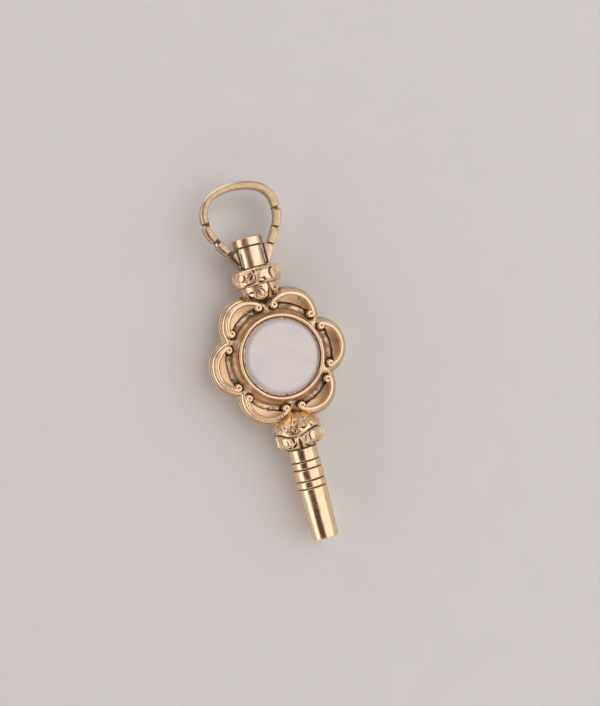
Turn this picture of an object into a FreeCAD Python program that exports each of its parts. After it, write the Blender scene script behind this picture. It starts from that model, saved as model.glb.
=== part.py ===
import FreeCAD
import Part

import math
import os

V = FreeCAD.Vector

# Sizes in millimetres. The key lies on its back: +Y runs to the bow, +Z is the front face.
# Heights are measured from the seam between the two struck shells, lengths from the head's centre.

# Head outline: round lobes set on a circle
lobe_count = 6
lobe_circle_radius = 5.2
lobe_radius = 3.9

# Ridged side wall of each shell, stepping inwards from the seam to the face
ridges_per_shell = 2
ridge_height = 0.6
ridge_ledge = 0.3
core_radius = 6.5
core_cover = 0.4

# Face of each shell: one crescent scroll on each lobe, with round volute eyes at its two ends
trough_radius = 6.95
scroll_height = 0.85
scroll_rim_width = 0.4
hollow_drop = 0.5
hollow_half_angle = 52.0
eye_radius = 0.55
eye_sides = 6
eye_angle = 67.0
bud_half_width = 0.34
bud_rise = 0.36
bud_length = 1.4

# Rubbed-over bezel and the bevelled stone that it holds
stone_radius = 4.86
stone_girdle = 1.2
stone_bevel_width = 0.7
stone_bevel_height = 0.35
stone_bed = 0.35
stone_clearance = 0.04
bezel_wall = 0.55
bezel_lip_overlap = 0.08
bezel_height = 2.15
bezel_land_width = 0.35

# Pointed leaves on the two cups: where a leaf's edge swells, as shares of its length and half width
leaf_swell_along = 0.35
leaf_swell_across = 0.7

# Leaf cup and rolled collar between the head and the swivel
upper_cup_radius = 2.3
upper_cup_base_radius = 2.1
upper_cup_start = 8.0
upper_cup_end = 9.5
upper_leaf_tip = 7.65
upper_leaf_half_width = 1.7
upper_leaf_proud = 0.1
upper_collar_radius = 3.15
upper_collar_length = 2.2
upper_collar_end_radius = 2.5
collar_corner = 0.55

# Swivel: a sleeve that turns on the headed pin, under the cap
pin_radius = 0.8
pin_tail_in_cup = 1.1
pin_end_depth = 0.7
swivel_clearance = 0.05
swivel_end_gap = 0.08
sleeve_radius = 1.72
sleeve_length = 2.64
cap_radius = 1.95
cap_height = 1.25
cap_edge_chamfer = 0.2

# Bow: a flat ribbon bent to a horseshoe, nicked at three places on each leg
bow_width = 10.2
bow_thickness = 0.85
bow_depth = 2.2
bow_crown_radius = 7.92
bow_shoulder_radius = 3.5
bow_hip_radius = 5.0
bow_leg_angle = 32.0
bow_side_straight = 0.5
bow_foot_land = 0.12
bow_foot_rise = 0.07
bow_lug_length = 2.45
bow_lug_drop = 0.2
bow_segment_swell = 0.1
bow_nick_depth = 0.2
bow_nick_face_depth = 0.13

# Leaf cup and rolled collar between the head and the pipe
lower_cup_start = 8.0
lower_cup_end = 10.0
lower_cup_base_radius = 2.5
lower_cup_radius = 3.12
lower_leaf_tip = 7.3
lower_leaf_half_width = 2.1
lower_leaf_proud = 0.12
lower_collar_radius = 3.2
lower_collar_length = 1.9
lower_collar_end_radius = 2.05

# Pipe and the steel socket inside it
pipe_radius = 1.9
pipe_end_radius = 1.72
pipe_length = 12.0
pipe_parallel_length = 5.5
pipe_bore_radius = 1.32
pipe_spigot_radius = 1.7
pipe_spigot_length = 0.8
pipe_end_chamfer = 0.1
socket_recess = 0.2
socket_square = 1.5
socket_depth = 7.0

# Places that follow from the sizes above
face_height = ridges_per_shell * ridge_height
bezel_bore_radius = stone_radius + stone_clearance
bezel_outer_radius = bezel_bore_radius + bezel_wall
scroll_radius = lobe_radius - ridges_per_shell * ridge_ledge
scroll_crest = face_height + scroll_height
bezel_crest = face_height + bezel_height
stone_bottom = face_height + stone_bed
girdle_top = stone_bottom + stone_girdle
stone_top = girdle_top + stone_bevel_height
upper_collar_top = upper_cup_end + upper_collar_length
sleeve_bottom = upper_collar_top + swivel_end_gap
sleeve_top = sleeve_bottom + sleeve_length
cap_bottom = sleeve_top + swivel_end_gap
lower_collar_bottom = lower_cup_end + lower_collar_length
pipe_end = lower_collar_bottom + pipe_length
socket_mouth = pipe_end - socket_recess
pipe_top = lower_collar_bottom - pipe_spigot_length


def on_circle(radius, degrees):
    """X and Y of a point on a circle about the origin."""
    angle = math.radians(degrees)
    return radius * math.cos(angle), radius * math.sin(angle)


def path(start, steps, place):
    """Closed wire through the steps: a step is an end point, or a middle and an end point of an arc."""
    edges = []
    here = start
    last = steps[-1][1] if isinstance(steps[-1][0], tuple) else steps[-1]
    closing = [] if last == start else [start]
    for step in list(steps) + closing:
        if isinstance(step[0], tuple):
            middle, there = step
            edges.append(Part.Arc(place(*here), place(*middle), place(*there)).toShape())
        else:
            there = step
            edges.append(Part.LineSegment(place(*here), place(*there)).toShape())
        here = there
    return Part.Wire(edges)


def spun_about_key(start, *steps):
    """Solid of a profile in radius and length, spun about the key's long axis."""
    face = Part.Face(path(start, steps, lambda r, y: V(r, y, 0)))
    return face.revolve(V(0, 0, 0), V(0, 1, 0), 360)


def spun_about_face(start, *steps):
    """Solid of a profile in radius and height, spun about the axis through the stone."""
    face = Part.Face(path(start, steps, lambda r, z: V(r, 0, z)))
    return face.revolve(V(0, 0, 0), V(0, 0, 1), 360)


def rod(radius, start, end):
    """Round rod on the key's long axis between two lengths."""
    return Part.makeCylinder(radius, end - start, V(0, start, 0), V(0, 1, 0))


def united(solids):
    """One solid from several that touch or cross."""
    return solids[0].multiFuse(solids[1:]).removeSplitter()


def mirrored(shape):
    """The same shape on the back of the key."""
    return shape.mirror(V(0, 0, 0), V(0, 0, 1))


def many_sided(radius, sides, height, place):
    """Upright prism of a regular outline."""
    corners = [V(*on_circle(radius, 360.0 / sides * (i + 0.5)), 0) for i in range(sides + 1)]
    prism = Part.Face(Part.makePolygon(corners)).extrude(V(0, 0, height))
    prism.translate(place)
    return prism


def lobed_slab(inset, low, high):
    """Slab with the lobed outline moved inwards: each lobe's arc shrinks about its own centre."""
    half_pitch = 180.0 / lobe_count
    radius = lobe_radius - inset
    along = lobe_circle_radius * math.cos(math.radians(half_pitch))
    across = lobe_circle_radius * math.sin(math.radians(half_pitch))
    cleft_distance = along + math.sqrt(radius ** 2 - across ** 2)
    edges = []
    for i in range(lobe_count):
        lobe_at = 2 * half_pitch * i
        start = on_circle(cleft_distance, lobe_at - half_pitch)
        tip = on_circle(lobe_circle_radius + radius, lobe_at)
        end = on_circle(cleft_distance, lobe_at + half_pitch)
        edges.append(Part.Arc(V(*start, low), V(*tip, low), V(*end, low)).toShape())
    return Part.Face(Part.Wire(edges)).extrude(V(0, 0, high - low))


def ridged_block():
    """Side wall of one shell as stacked ridges, each leaving a ledge to the next."""
    slabs = []
    for i in range(ridges_per_shell):
        slabs.append(lobed_slab(i * ridge_ledge, i * ridge_height, (i + 1) * ridge_height))
    return united(slabs)


def crescent():
    """Crescent scroll of the lobe on +X: a flat rim that ends in two round volute eyes."""
    lobe_axis = V(lobe_circle_radius, 0, face_height)
    plate = Part.makeCylinder(scroll_radius, scroll_height, lobe_axis)
    pieces = [plate.cut(Part.makeCylinder(trough_radius, scroll_crest))]
    for side in (1, -1):
        x, y = on_circle(scroll_radius - eye_radius, side * eye_angle)
        pieces.append(many_sided(eye_radius, eye_sides, scroll_height, lobe_axis + V(x, y, 0)))
    return united(pieces).cut(crescent_hollow())


def crescent_hollow():
    """Space that slopes down from the rim of the crescent to its inner edge, between the eyes."""
    outer = scroll_radius - scroll_rim_width
    inner = trough_radius - lobe_circle_radius
    slope = hollow_drop / (outer - inner)
    start = inner - scroll_rim_width
    section = path(
        (start, scroll_crest - slope * (outer - start)),
        [(outer, scroll_crest), (outer, scroll_crest + scroll_height), (start, scroll_crest + scroll_height)],
        lambda r, z: V(r, 0, z),
    )
    hollow = Part.Face(section).revolve(V(0, 0, 0), V(0, 0, 1), 2 * hollow_half_angle)
    hollow.rotate(V(0, 0, 0), V(0, 0, 1), -hollow_half_angle)
    hollow.translate(V(lobe_circle_radius, 0, 0))
    return hollow


def cleft_bud():
    """Ridge that lies out from the bezel to the cleft beside the lobe on +X."""
    section = path(
        (-bud_half_width, face_height),
        [(bud_half_width, face_height), (0, face_height + bud_rise)],
        lambda y, z: V(bezel_outer_radius, y, z),
    )
    bud = Part.Face(section).extrude(V(bud_length, 0, 0))
    bud.rotate(V(0, 0, 0), V(0, 0, 1), 180.0 / lobe_count)
    return bud


def struck_face():
    """Crescent and bud of every lobe."""
    pieces = []
    for i in range(lobe_count):
        for piece in (crescent(), cleft_bud()):
            piece.rotate(V(0, 0, 0), V(0, 0, 1), 360.0 / lobe_count * i)
            pieces.append(piece)
    return pieces


def head_core():
    """Round filling between the two shells."""
    reach = face_height - core_cover
    return Part.makeCylinder(core_radius, 2 * reach, V(0, 0, -reach))


def front_shell():
    """Struck front shell, open at the back, cut where the two leaf cups enter."""
    cuts = [head_core(), upper_leaf_cup_blank(), lower_leaf_cup()]
    return united([ridged_block()] + struck_face()).cut(cuts).removeSplitter()


def front_bezel():
    """Bezel collar with a flat land on top, rubbed over the stone's bevel at its inner edge."""
    bore = bezel_bore_radius
    lip = stone_radius - bezel_lip_overlap
    slope = stone_bevel_height / stone_bevel_width
    lip_under = girdle_top + slope * (stone_radius - lip) + stone_clearance
    return spun_about_face(
        (bore, face_height),
        (bezel_outer_radius, face_height),
        (bezel_outer_radius, bezel_crest),
        (bezel_outer_radius - bezel_land_width, bezel_crest),
        (lip, lip_under),
        (bore, girdle_top + stone_clearance),
    )


def front_stone():
    """Flat round stone with a bevelled edge."""
    return spun_about_face(
        (0, stone_bottom),
        (stone_radius, stone_bottom),
        (stone_radius, girdle_top),
        (stone_radius - stone_bevel_width, stone_top),
        (0, stone_top),
    )


def front_stone_bed():
    """Cement under the stone."""
    return Part.makeCylinder(bezel_bore_radius, stone_bed, V(0, 0, face_height))


def leaf_tips(tip, base, half_width, radius):
    """Pointed leaf on the front and the back of a cup: an arched outline on a round body."""
    middle_y = tip + leaf_swell_along * (base - tip)
    middle_x = leaf_swell_across * half_width
    outline = path(
        (0, tip),
        [((middle_x, middle_y), (half_width, base)), (-half_width, base), ((-middle_x, middle_y), (0, tip))],
        lambda x, y: V(x, y, -radius),
    )
    prism = Part.Face(outline).extrude(V(0, 0, 2 * radius))
    low, high = sorted((tip, base))
    return prism.common(rod(radius, low - radius, high + radius))


def upper_leaf_cup_blank():
    """Leaf cup at the top of the head, before its bore."""
    cup = spun_about_key(
        (0, upper_cup_start),
        (upper_cup_base_radius, upper_cup_start),
        (upper_cup_radius, upper_cup_end),
        (0, upper_cup_end),
    )
    leaf = leaf_tips(
        upper_leaf_tip,
        upper_cup_end - upper_leaf_proud,
        upper_leaf_half_width,
        upper_cup_radius + upper_leaf_proud,
    )
    return united([cup, leaf])


def upper_leaf_cup():
    """Leaf cup soldered into the head's top cleft, bored for the pin's tail."""
    return upper_leaf_cup_blank().cut(swivel_pin())


def rolled_collar(inner, start, length, start_radius, widest, end_radius, corner):
    """Collar with a sloped corner on each side of its widest band."""
    side = 1 if length > 0 else -1
    return spun_about_key(
        (inner, start),
        (start_radius, start),
        (widest, start + side * corner),
        (widest, start + length - side * corner),
        (end_radius, start + length),
        (inner, start + length),
    )


def upper_collar():
    """Rolled collar under the swivel."""
    return rolled_collar(
        pin_radius,
        upper_cup_end,
        upper_collar_length,
        upper_collar_end_radius,
        upper_collar_radius,
        upper_collar_end_radius,
        collar_corner,
    )


def swivel_pin():
    """Pin fixed in the collar and the leaf cup, on which the sleeve turns."""
    return rod(pin_radius, upper_cup_end - pin_tail_in_cup, cap_bottom + pin_end_depth)


def pin_cap():
    """Round cap riveted on the pin's end."""
    top = cap_bottom + cap_height
    cap = spun_about_key(
        (0, cap_bottom),
        (cap_radius, cap_bottom),
        (cap_radius, top - cap_edge_chamfer),
        (cap_radius - cap_edge_chamfer, top),
        (0, top),
    )
    return cap.cut(swivel_pin())


def bow_sleeve():
    """Sleeve that turns on the pin and carries the bow."""
    bore = pin_radius + swivel_clearance
    return rod(sleeve_radius, sleeve_bottom, sleeve_top).cut(rod(bore, sleeve_bottom, sleeve_top))


def bow_leg():
    """Foot, straight length and hip centre of the bow's right leg, on its outer line."""
    angle = math.radians(bow_leg_angle)
    foot = (sleeve_radius + bow_foot_land, sleeve_bottom + bow_foot_rise)
    reach = bow_width / 2 - bow_hip_radius * (1 - math.cos(angle)) - foot[0]
    straight = reach / math.sin(angle)
    hip_y = foot[1] + straight * math.cos(angle) + bow_hip_radius * math.sin(angle)
    return foot, straight, (bow_width / 2 - bow_hip_radius, hip_y)


def bow_line(inset):
    """Start and path steps of the bow's right side from foot to crown, moved inwards by an inset."""
    angle = math.radians(bow_leg_angle)
    foot, straight, hip = bow_leg()
    swell = bow_segment_swell if inset == 0 else 0

    def on_leg(distance, bulge=0):
        x = foot[0] + distance * math.sin(angle) + (bulge - inset) * math.cos(angle)
        return x, foot[1] + distance * math.cos(angle) - (bulge - inset) * math.sin(angle)

    def on_arc(centre, radius, turn):
        return centre[0] + radius * math.cos(turn), centre[1] + radius * math.sin(turn)

    shoulder = (bow_width / 2 - bow_shoulder_radius, hip[1] + bow_side_straight)
    lean = math.acos(shoulder[0] / (bow_crown_radius - bow_shoulder_radius))
    crown = (0, shoulder[1] - (bow_crown_radius - bow_shoulder_radius) * math.sin(lean))
    hip_radius = bow_hip_radius - inset
    shoulder_radius = bow_shoulder_radius - inset
    crown_radius = bow_crown_radius - inset
    steps = [
        on_leg(bow_lug_length),
        (on_leg((bow_lug_length + straight) / 2, swell), on_leg(straight)),
        (on_arc(hip, hip_radius + swell, -angle / 2), on_arc(hip, hip_radius, 0)),
        on_arc(shoulder, shoulder_radius, 0),
        (on_arc(shoulder, shoulder_radius, lean / 2), on_arc(shoulder, shoulder_radius, lean)),
        (on_arc(crown, crown_radius, (math.pi / 2 + lean) / 2), on_arc(crown, crown_radius, math.pi / 2)),
    ]
    return on_leg(0), steps


def bow_inner_line():
    """Inner side of the ribbon, which starts level with the top of the lug."""
    foot, steps = bow_line(bow_thickness)
    lug_top = sleeve_top - bow_lug_drop
    start = (foot[0] + (lug_top - foot[1]) * math.tan(math.radians(bow_leg_angle)), lug_top)
    return start, [steps[1][1]] + steps[2:]


def both_sides(start, steps):
    """Flat face inside a right half outline and its mirror image on the left."""
    ends = [start] + [step[1] if isinstance(step[0], tuple) else step for step in steps]
    back = []
    for step, (x, y) in reversed(list(zip(steps, ends))):
        there = (-x, y)
        if isinstance(step[0], tuple):
            back.append(((-step[0][0], step[0][1]), there))
        else:
            back.append(there)
    return Part.Face(path(start, steps + back, lambda x, y: V(x, y, -bow_depth / 2)))


def nick_bar(depth, length):
    """Square bar along Z, set on its corner so that it leaves a V-shaped nick."""
    side = depth * math.sqrt(2)
    bar = Part.makeBox(side, side, length, V(-side / 2, -side / 2, -length / 2))
    bar.rotate(V(0, 0, 0), V(0, 0, 1), 45)
    return bar


def face_nick_bar(depth, length):
    """The same bar laid along X, for a nick across a face of the ribbon."""
    bar = nick_bar(depth, length)
    bar.rotate(V(0, 0, 0), V(0, 1, 0), 90)
    return bar


def bow_nicks():
    """Nicks across the outer side and both faces at the three stations of each leg."""
    foot, straight, hip = bow_leg()
    angle = math.radians(bow_leg_angle)
    hip_start = (foot[0] + straight * math.sin(angle), foot[1] + straight * math.cos(angle))
    lug = (foot[0] + bow_lug_length * math.sin(angle), foot[1] + bow_lug_length * math.cos(angle))
    stations = [
        (lug, bow_leg_angle),
        (hip_start, bow_leg_angle),
        ((hip[0] + bow_hip_radius, hip[1]), 0.0),
    ]
    across_ribbon = 4 * bow_thickness
    bars = []
    for (x, y), lean in stations:
        for side in (1, -1):
            station_bars = [
                (nick_bar(bow_nick_depth, 2 * bow_depth), 0),
                (face_nick_bar(bow_nick_face_depth, across_ribbon), bow_depth / 2),
                (face_nick_bar(bow_nick_face_depth, across_ribbon), -bow_depth / 2),
            ]
            for bar, height in station_bars:
                bar.rotate(V(0, 0, 0), V(0, 0, 1), -side * lean)
                bar.translate(V(side * x, y, height))
                bars.append(bar)
    return bars


def bow():
    """Horseshoe bow, its legs ending in lugs against the sleeve."""
    outline = both_sides(*bow_line(0)).cut(both_sides(*bow_inner_line()))
    ribbon = outline.extrude(V(0, 0, bow_depth))
    seat = rod(sleeve_radius, sleeve_bottom, sleeve_top)
    return ribbon.cut([seat] + bow_nicks()).removeSplitter()


def lower_leaf_cup():
    """Leaf cup soldered into the head's bottom cleft."""
    cup = spun_about_key(
        (0, -lower_cup_start),
        (lower_cup_base_radius, -lower_cup_start),
        (lower_cup_radius, -lower_cup_end),
        (0, -lower_cup_end),
    )
    leaf = leaf_tips(
        -lower_leaf_tip,
        -lower_cup_end + lower_leaf_proud,
        lower_leaf_half_width,
        lower_cup_base_radius + lower_leaf_proud,
    )
    return united([cup, leaf])


def lower_collar():
    """Rolled collar with a blind pocket for the top of the pipe."""
    collar = rolled_collar(
        0,
        -lower_cup_end,
        -lower_collar_length,
        lower_cup_radius,
        lower_collar_radius,
        lower_collar_end_radius,
        collar_corner,
    )
    return collar.cut(rod(pipe_spigot_radius, -lower_collar_bottom, -pipe_top))


def pipe():
    """Tapered pipe with a spigot in the collar and a through bore for the steel socket."""
    shoulder = -lower_collar_bottom
    return spun_about_key(
        (pipe_bore_radius, -pipe_top),
        (pipe_spigot_radius, -pipe_top),
        (pipe_spigot_radius, shoulder),
        (pipe_radius, shoulder),
        (pipe_radius, shoulder - pipe_parallel_length),
        (pipe_end_radius, pipe_end_chamfer - pipe_end),
        (pipe_end_radius - pipe_end_chamfer, -pipe_end),
        (pipe_bore_radius, -pipe_end),
    )


def steel_socket():
    """Steel socket that fills the pipe's bore, with a square hole for the winding arbor."""
    corner = V(-socket_square / 2, -socket_mouth, -socket_square / 2)
    square = Part.makeBox(socket_square, socket_depth, socket_square, corner)
    return rod(pipe_bore_radius, -socket_mouth, -pipe_top).cut(square)


def bow_top():
    """Length from the head's centre to the crown of the bow."""
    steps = bow_line(0)[1]
    return steps[-1][1][1]


def main():
    """Every piece of the key, set on its back with the origin under the middle of its length."""
    pieces = {
        "bow": bow(),
        "bow_sleeve": bow_sleeve(),
        "swivel_pin": swivel_pin(),
        "pin_cap": pin_cap(),
        "upper_collar": upper_collar(),
        "upper_leaf_cup": upper_leaf_cup(),
        "front_shell": front_shell(),
        "back_shell": mirrored(front_shell()),
        "head_core": head_core(),
        "front_bezel": front_bezel(),
        "back_bezel": mirrored(front_bezel()),
        "front_stone": front_stone(),
        "back_stone": mirrored(front_stone()),
        "front_stone_bed": front_stone_bed(),
        "back_stone_bed": mirrored(front_stone_bed()),
        "lower_leaf_cup": lower_leaf_cup(),
        "lower_collar": lower_collar(),
        "pipe": pipe(),
        "steel_socket": steel_socket(),
    }
    place = V(0, (pipe_end - bow_top()) / 2, bezel_crest)
    os.makedirs("parts", exist_ok=True)
    for node, shape in pieces.items():
        shape.translate(place)
        shape.exportStep("parts/" + node + ".step")
        print(node, len(shape.Solids), round(shape.Volume, 3), shape.isValid())


main()
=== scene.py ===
"""Old pocket-watch key: the finished looks of every piece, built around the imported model."""

import math
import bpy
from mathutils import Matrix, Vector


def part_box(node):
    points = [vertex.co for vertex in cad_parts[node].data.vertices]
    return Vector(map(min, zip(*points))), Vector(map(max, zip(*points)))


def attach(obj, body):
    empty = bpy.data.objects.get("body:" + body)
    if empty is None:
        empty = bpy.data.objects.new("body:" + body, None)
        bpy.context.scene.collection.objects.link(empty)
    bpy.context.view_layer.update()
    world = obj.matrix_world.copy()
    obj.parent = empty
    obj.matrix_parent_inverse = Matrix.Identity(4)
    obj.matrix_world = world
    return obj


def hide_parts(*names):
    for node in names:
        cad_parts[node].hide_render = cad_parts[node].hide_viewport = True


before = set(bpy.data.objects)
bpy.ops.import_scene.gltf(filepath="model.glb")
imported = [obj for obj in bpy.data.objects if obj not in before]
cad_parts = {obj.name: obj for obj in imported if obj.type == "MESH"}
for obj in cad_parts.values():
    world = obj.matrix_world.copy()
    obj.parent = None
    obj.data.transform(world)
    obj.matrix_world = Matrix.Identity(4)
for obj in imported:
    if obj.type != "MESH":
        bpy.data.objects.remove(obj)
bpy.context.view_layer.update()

from types import SimpleNamespace

import bpy
import numpy as np
from bpy.props import FloatProperty, FloatVectorProperty, IntProperty, PointerProperty
from bpy.types import Operator, Panel, PropertyGroup
from mathutils import Matrix, Vector

bl_info = {
    "name": "Pocket-watch key",
    "version": (1, 0, 0),
    "blender": (4, 5, 0),
    "location": "View3D > Sidebar > Watch key",
    "description": "Builds the chased gold, stones and steel of an old winding key on its packed model",
    "category": "Add Mesh",
}

MM = 0.001
KEY_BODY = "key"
BOW_BODY = "swivel_bow"
FRONT = 1
BACK = -1

SEAM_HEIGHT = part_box("front_shell")[0].z
HEAD_CENTRE_Y = (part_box("front_stone")[0].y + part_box("front_stone")[1].y) / 2
HEAD_HALF_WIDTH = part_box("front_shell")[1].x


def length_of_key(y):
    """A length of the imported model, in millimetres from the head's centre."""
    return (y - HEAD_CENTRE_Y) / MM


def height_of_key(z):
    """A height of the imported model, in millimetres from the seam between the shells."""
    return (z - SEAM_HEIGHT) / MM


def ends_of(box):
    """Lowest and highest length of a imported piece's box, in millimetres from the head's centre."""
    low, high = box
    return length_of_key(low.y), length_of_key(high.y)


# Settings that a user would change

def size(label, text, millimetres):
    """A length, kept in metres and shown in the sidebar."""
    return FloatProperty(name=label, description=text, default=millimetres * MM, unit="LENGTH", precision=5)


def turn(label, text, degrees):
    """An angle, shown in the sidebar."""
    return FloatProperty(name=label, description=text, default=math.radians(degrees), unit="ROTATION")


def colour(label, text, rgb):
    """A colour, shown in the sidebar."""
    return FloatVectorProperty(name=label, description=text, default=rgb, subtype="COLOR", min=0.0, max=1.0)


class KEY_PG_head(PropertyGroup):
    """Sizes of the struck shells, bezels and stones."""

    lobe_circle: size("Lobe circle", "Radius of the circle that the lobes' centres lie on", 5.2)
    bead_radius: size("Bead radius", "Radius of the scroll's bead about its lobe's centre", 2.93)
    bead_half_width: size("Bead half width", "Half the width of the scroll's bead", 0.26)
    bead_height: size("Bead height", "How far the bead stands over its foot", 0.34)
    scroll_crest: size("Scroll crest", "Height of the bead over the seam", 2.05)
    face_height: size("Face height", "Height of the struck ground over the seam", 1.16)
    trough_depth: size("Trough depth", "How far the ground sinks in front of the scrolls", 0.2)
    hollow_drop: size("Hollow drop", "How far the scroll's hollow falls towards the stone", 0.5)
    inner_edge: size("Inner edge", "Head radius of the scroll's inner edge", 6.93)
    eye_distance: size("Eye distance", "Distance of an eye from its lobe's centre", 2.6)
    eye_angle: turn("Eye angle", "Angle between the lobe's middle and an eye", 67.0)
    eye_turn: turn("Eye turn", "How far the bead curls round an eye", 330.0)
    cove_foot: size("Cove foot", "Head radius where the band beside the bezel ends", 6.35)
    cove_top: size("Cove top", "Height of the band where it meets the bezel", 1.95)
    wall_start: size("Wall start", "Lobe radius at the top of the ridged wall", 3.26)
    wall_spread: size("Wall spread", "How far the wall spreads down to the seam", 0.55)
    ridge_depth: size("Ridge depth", "How far each ridge stands out", 0.12)
    ridges: IntProperty(name="Ridges", description="Ridges on each shell's wall", default=3, min=1)
    bud_rise: size("Bud rise", "Height of the strap that runs out to each cleft", 0.42)
    bezel_foot: size("Bezel foot", "Outer radius of the bezel at its foot", 5.58)
    bezel_crest_radius: size("Bezel crest", "Radius of the bezel's rounded crest", 5.24)
    lip_radius: size("Lip radius", "Radius of the bezel's rubbed-over lip", 4.86)
    stone_bevel: size("Stone bevel", "Width of the bevel round the stone", 0.7)
    stone_bevel_fall: size("Stone bevel fall", "Height of the bevel round the stone", 0.35)


class KEY_PG_stem(PropertyGroup):
    """Sizes of the cups, collars and pipe."""

    upper_collar_radius: size("Upper collar", "Largest radius of the upper collar", 3.1)
    lower_collar_radius: size("Lower collar", "Largest radius of the lower collar", 3.15)
    chasing_depth: size("Chasing depth", "Depth of the chaser's strokes", 0.3)
    pipe_radius: size("Pipe radius", "Radius of the pipe below the collar", 1.9)
    pipe_end_radius: size("Pipe end", "Radius of the pipe at its end", 1.72)
    pipe_parallel: size("Parallel length", "Length of the pipe before it tapers", 5.5)
    pipe_bore: size("Pipe bore", "Radius of the hole that holds the steel", 1.32)
    ring_width: size("Ring width", "Width of an engraved ring", 0.16)
    ring_depth: size("Ring depth", "Depth of an engraved ring", 0.14)
    square: size("Square", "Width across the winding square's flats", 1.5)


class KEY_PG_bow(PropertyGroup):
    """Sizes of the bow and its swivel."""

    width: size("Width", "Width over the bow", 10.2)
    thickness: size("Thickness", "Thickness of the ribbon", 0.85)
    depth: size("Depth", "Depth of the ribbon, front to back", 2.2)
    crown_radius: size("Crown radius", "Outer radius at the top", 7.92)
    shoulder_radius: size("Shoulder radius", "Outer radius at the shoulders", 3.5)
    hip_radius: size("Hip radius", "Outer radius where the legs turn in", 5.0)
    leg_angle: turn("Leg angle", "Lean of the legs", 32.0)
    side_straight: size("Side straight", "Upright stretch at the widest place", 0.5)
    lug_length: size("Lug length", "Length of the lug along the leg", 2.45)
    sleeve_radius: size("Sleeve radius", "Outer radius of the swivel sleeve", 1.72)
    sleeve_bore: size("Sleeve bore", "Radius of the sleeve's bore", 0.85)
    cap_radius: size("Cap radius", "Radius of the cap on the pin", 1.95)
    nick_depth: size("Nick depth", "Depth of the nicks on the ribbon's outer side", 0.30)
    face_nick_depth: size("Face nick depth", "Depth of the nicks on the ribbon's faces", 0.22)


class KEY_PG_finish(PropertyGroup):
    """Colours of the metal, stones and deposits, and of the brown shade painted into the gold's hollows."""

    gold: colour("Gold", "Polished rose gold", (0.90, 0.665, 0.43))
    rosy_gold: colour("Rosy gold", "Thin film of tarnish on the gold", (0.73, 0.495, 0.305))
    # Painted shade: a brown that darkens the gold in and beside the hollows, in place of the shade that falls
    # there.
    painted_recess_shade: colour("Recess shade", "Brown shade painted beside the hollows", (0.36, 0.27, 0.19))
    ground_dirt: colour("Ground dirt", "Dull olive dirt on the struck ground", (0.27, 0.225, 0.13))
    pale_gold: colour("Pale gold", "Worn gold of the sleeve and cap", (0.90, 0.70, 0.50))
    worn_gold: colour("Worn gold", "Handled gold of the bow", (0.78, 0.595, 0.405))
    bow_film: colour("Bow film", "Olive tarnish on the bow", (0.515, 0.375, 0.225))
    grime: colour("Grime", "Dirt that has settled in the hollows", (0.050, 0.028, 0.017))
    verdigris: colour("Verdigris", "Green salts in the deepest corners", (0.10, 0.175, 0.13))
    solder: colour("Solder", "Grey solder at the bow's feet", (0.36, 0.36, 0.30))
    solder_bloom: colour("Solder bloom", "Dull green bloom on the solder", (0.15, 0.165, 0.12))
    chalcedony: colour("Chalcedony", "Milky stone of the front", (0.815, 0.755, 0.725))
    chalcedony_cloud: colour("Chalcedony cloud", "Cooler clouds in the milky stone", (0.755, 0.715, 0.735))
    chalcedony_vein: colour("Chalcedony vein", "Paler veins in the milky stone", (0.86, 0.81, 0.79))
    bloodstone: colour("Bloodstone", "Dark green stone of the back", (0.018, 0.050, 0.030))
    bloodstone_cloud: colour("Bloodstone cloud", "Paler clouds in the dark stone", (0.035, 0.085, 0.06))
    blood_fleck: colour("Blood fleck", "Red flecks in the dark stone", (0.28, 0.025, 0.015))
    cement: colour("Cement", "Dirt and cement round the stones", (0.045, 0.032, 0.024))
    cement_grain: colour("Cement grain", "Paler grains in the cement", (0.13, 0.10, 0.075))
    filling: colour("Filling", "Brown filling between the shells", (0.16, 0.10, 0.06))
    filling_grain: colour("Filling grain", "Paler grains in the filling", (0.26, 0.18, 0.11))
    steel: colour("Steel", "Dark steel in the pipe", (0.30, 0.285, 0.27))
    rust: colour("Rust", "Rust on the steel", (0.16, 0.055, 0.025))


class KEY_PG_stage(PropertyGroup):
    """Camera, lamps and floor."""

    camera_distance: size("Camera distance", "Distance of the camera from the stone", 160.0)
    field_width: size("Field width", "Width of the view at the stone", 75.57)
    camera_turn: turn("Camera turn", "How far the camera stands to the left of the face", 11.0)
    camera_tip: turn("Camera tip", "How far the camera stands towards the pipe", -2.0)
    key_lean: turn("Key lean", "Lean of the key to the left in the view", 14.9)
    floor: colour("Floor", "Colour of the floor", (0.78, 0.77, 0.76))


def in_millimetres(group):
    """The group's settings as plain values, with lengths in millimetres."""
    values = {}
    for name, prop in group.bl_rna.properties.items():
        if prop.type in {"FLOAT", "INT"} and not prop.is_array:
            is_length = prop.type == "FLOAT" and prop.unit == "LENGTH"
            values[name] = getattr(group, name) / (MM if is_length else 1)
    return SimpleNamespace(**values)


# Surfaces laid out in rings

def round_angles(columns):
    """Angles once round, one for each column of a surface."""
    return np.linspace(0, 2 * math.pi, columns, endpoint=False)


def in_columns(values, columns):
    """One value for each row, repeated for each column of a surface."""
    return np.repeat(values[:, None], columns, axis=1)


def ring_faces(rings, columns, looped):
    """Four-sided faces between neighbouring rings; looped joins the last ring to the first."""
    steps = rings if looped else rings - 1
    row = np.arange(steps)[:, None]
    column = np.arange(columns)[None, :]
    below = (row % rings) * columns
    above = ((row + 1) % rings) * columns
    beside = (column + 1) % columns
    faces = np.stack([below + column, below + beside, above + beside, above + column], axis=-1)
    return faces.reshape(-1, 4)


def signed_volume(points, faces):
    """Volume inside the faces, negative where they face inwards."""
    corners = points[faces]
    volume = 0.0
    for i in range(1, faces.shape[1] - 1):
        crossed = np.cross(corners[:, i], corners[:, i + 1])
        volume += float(np.einsum("ij,ij->", corners[:, 0], crossed))
    return volume / 6


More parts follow.
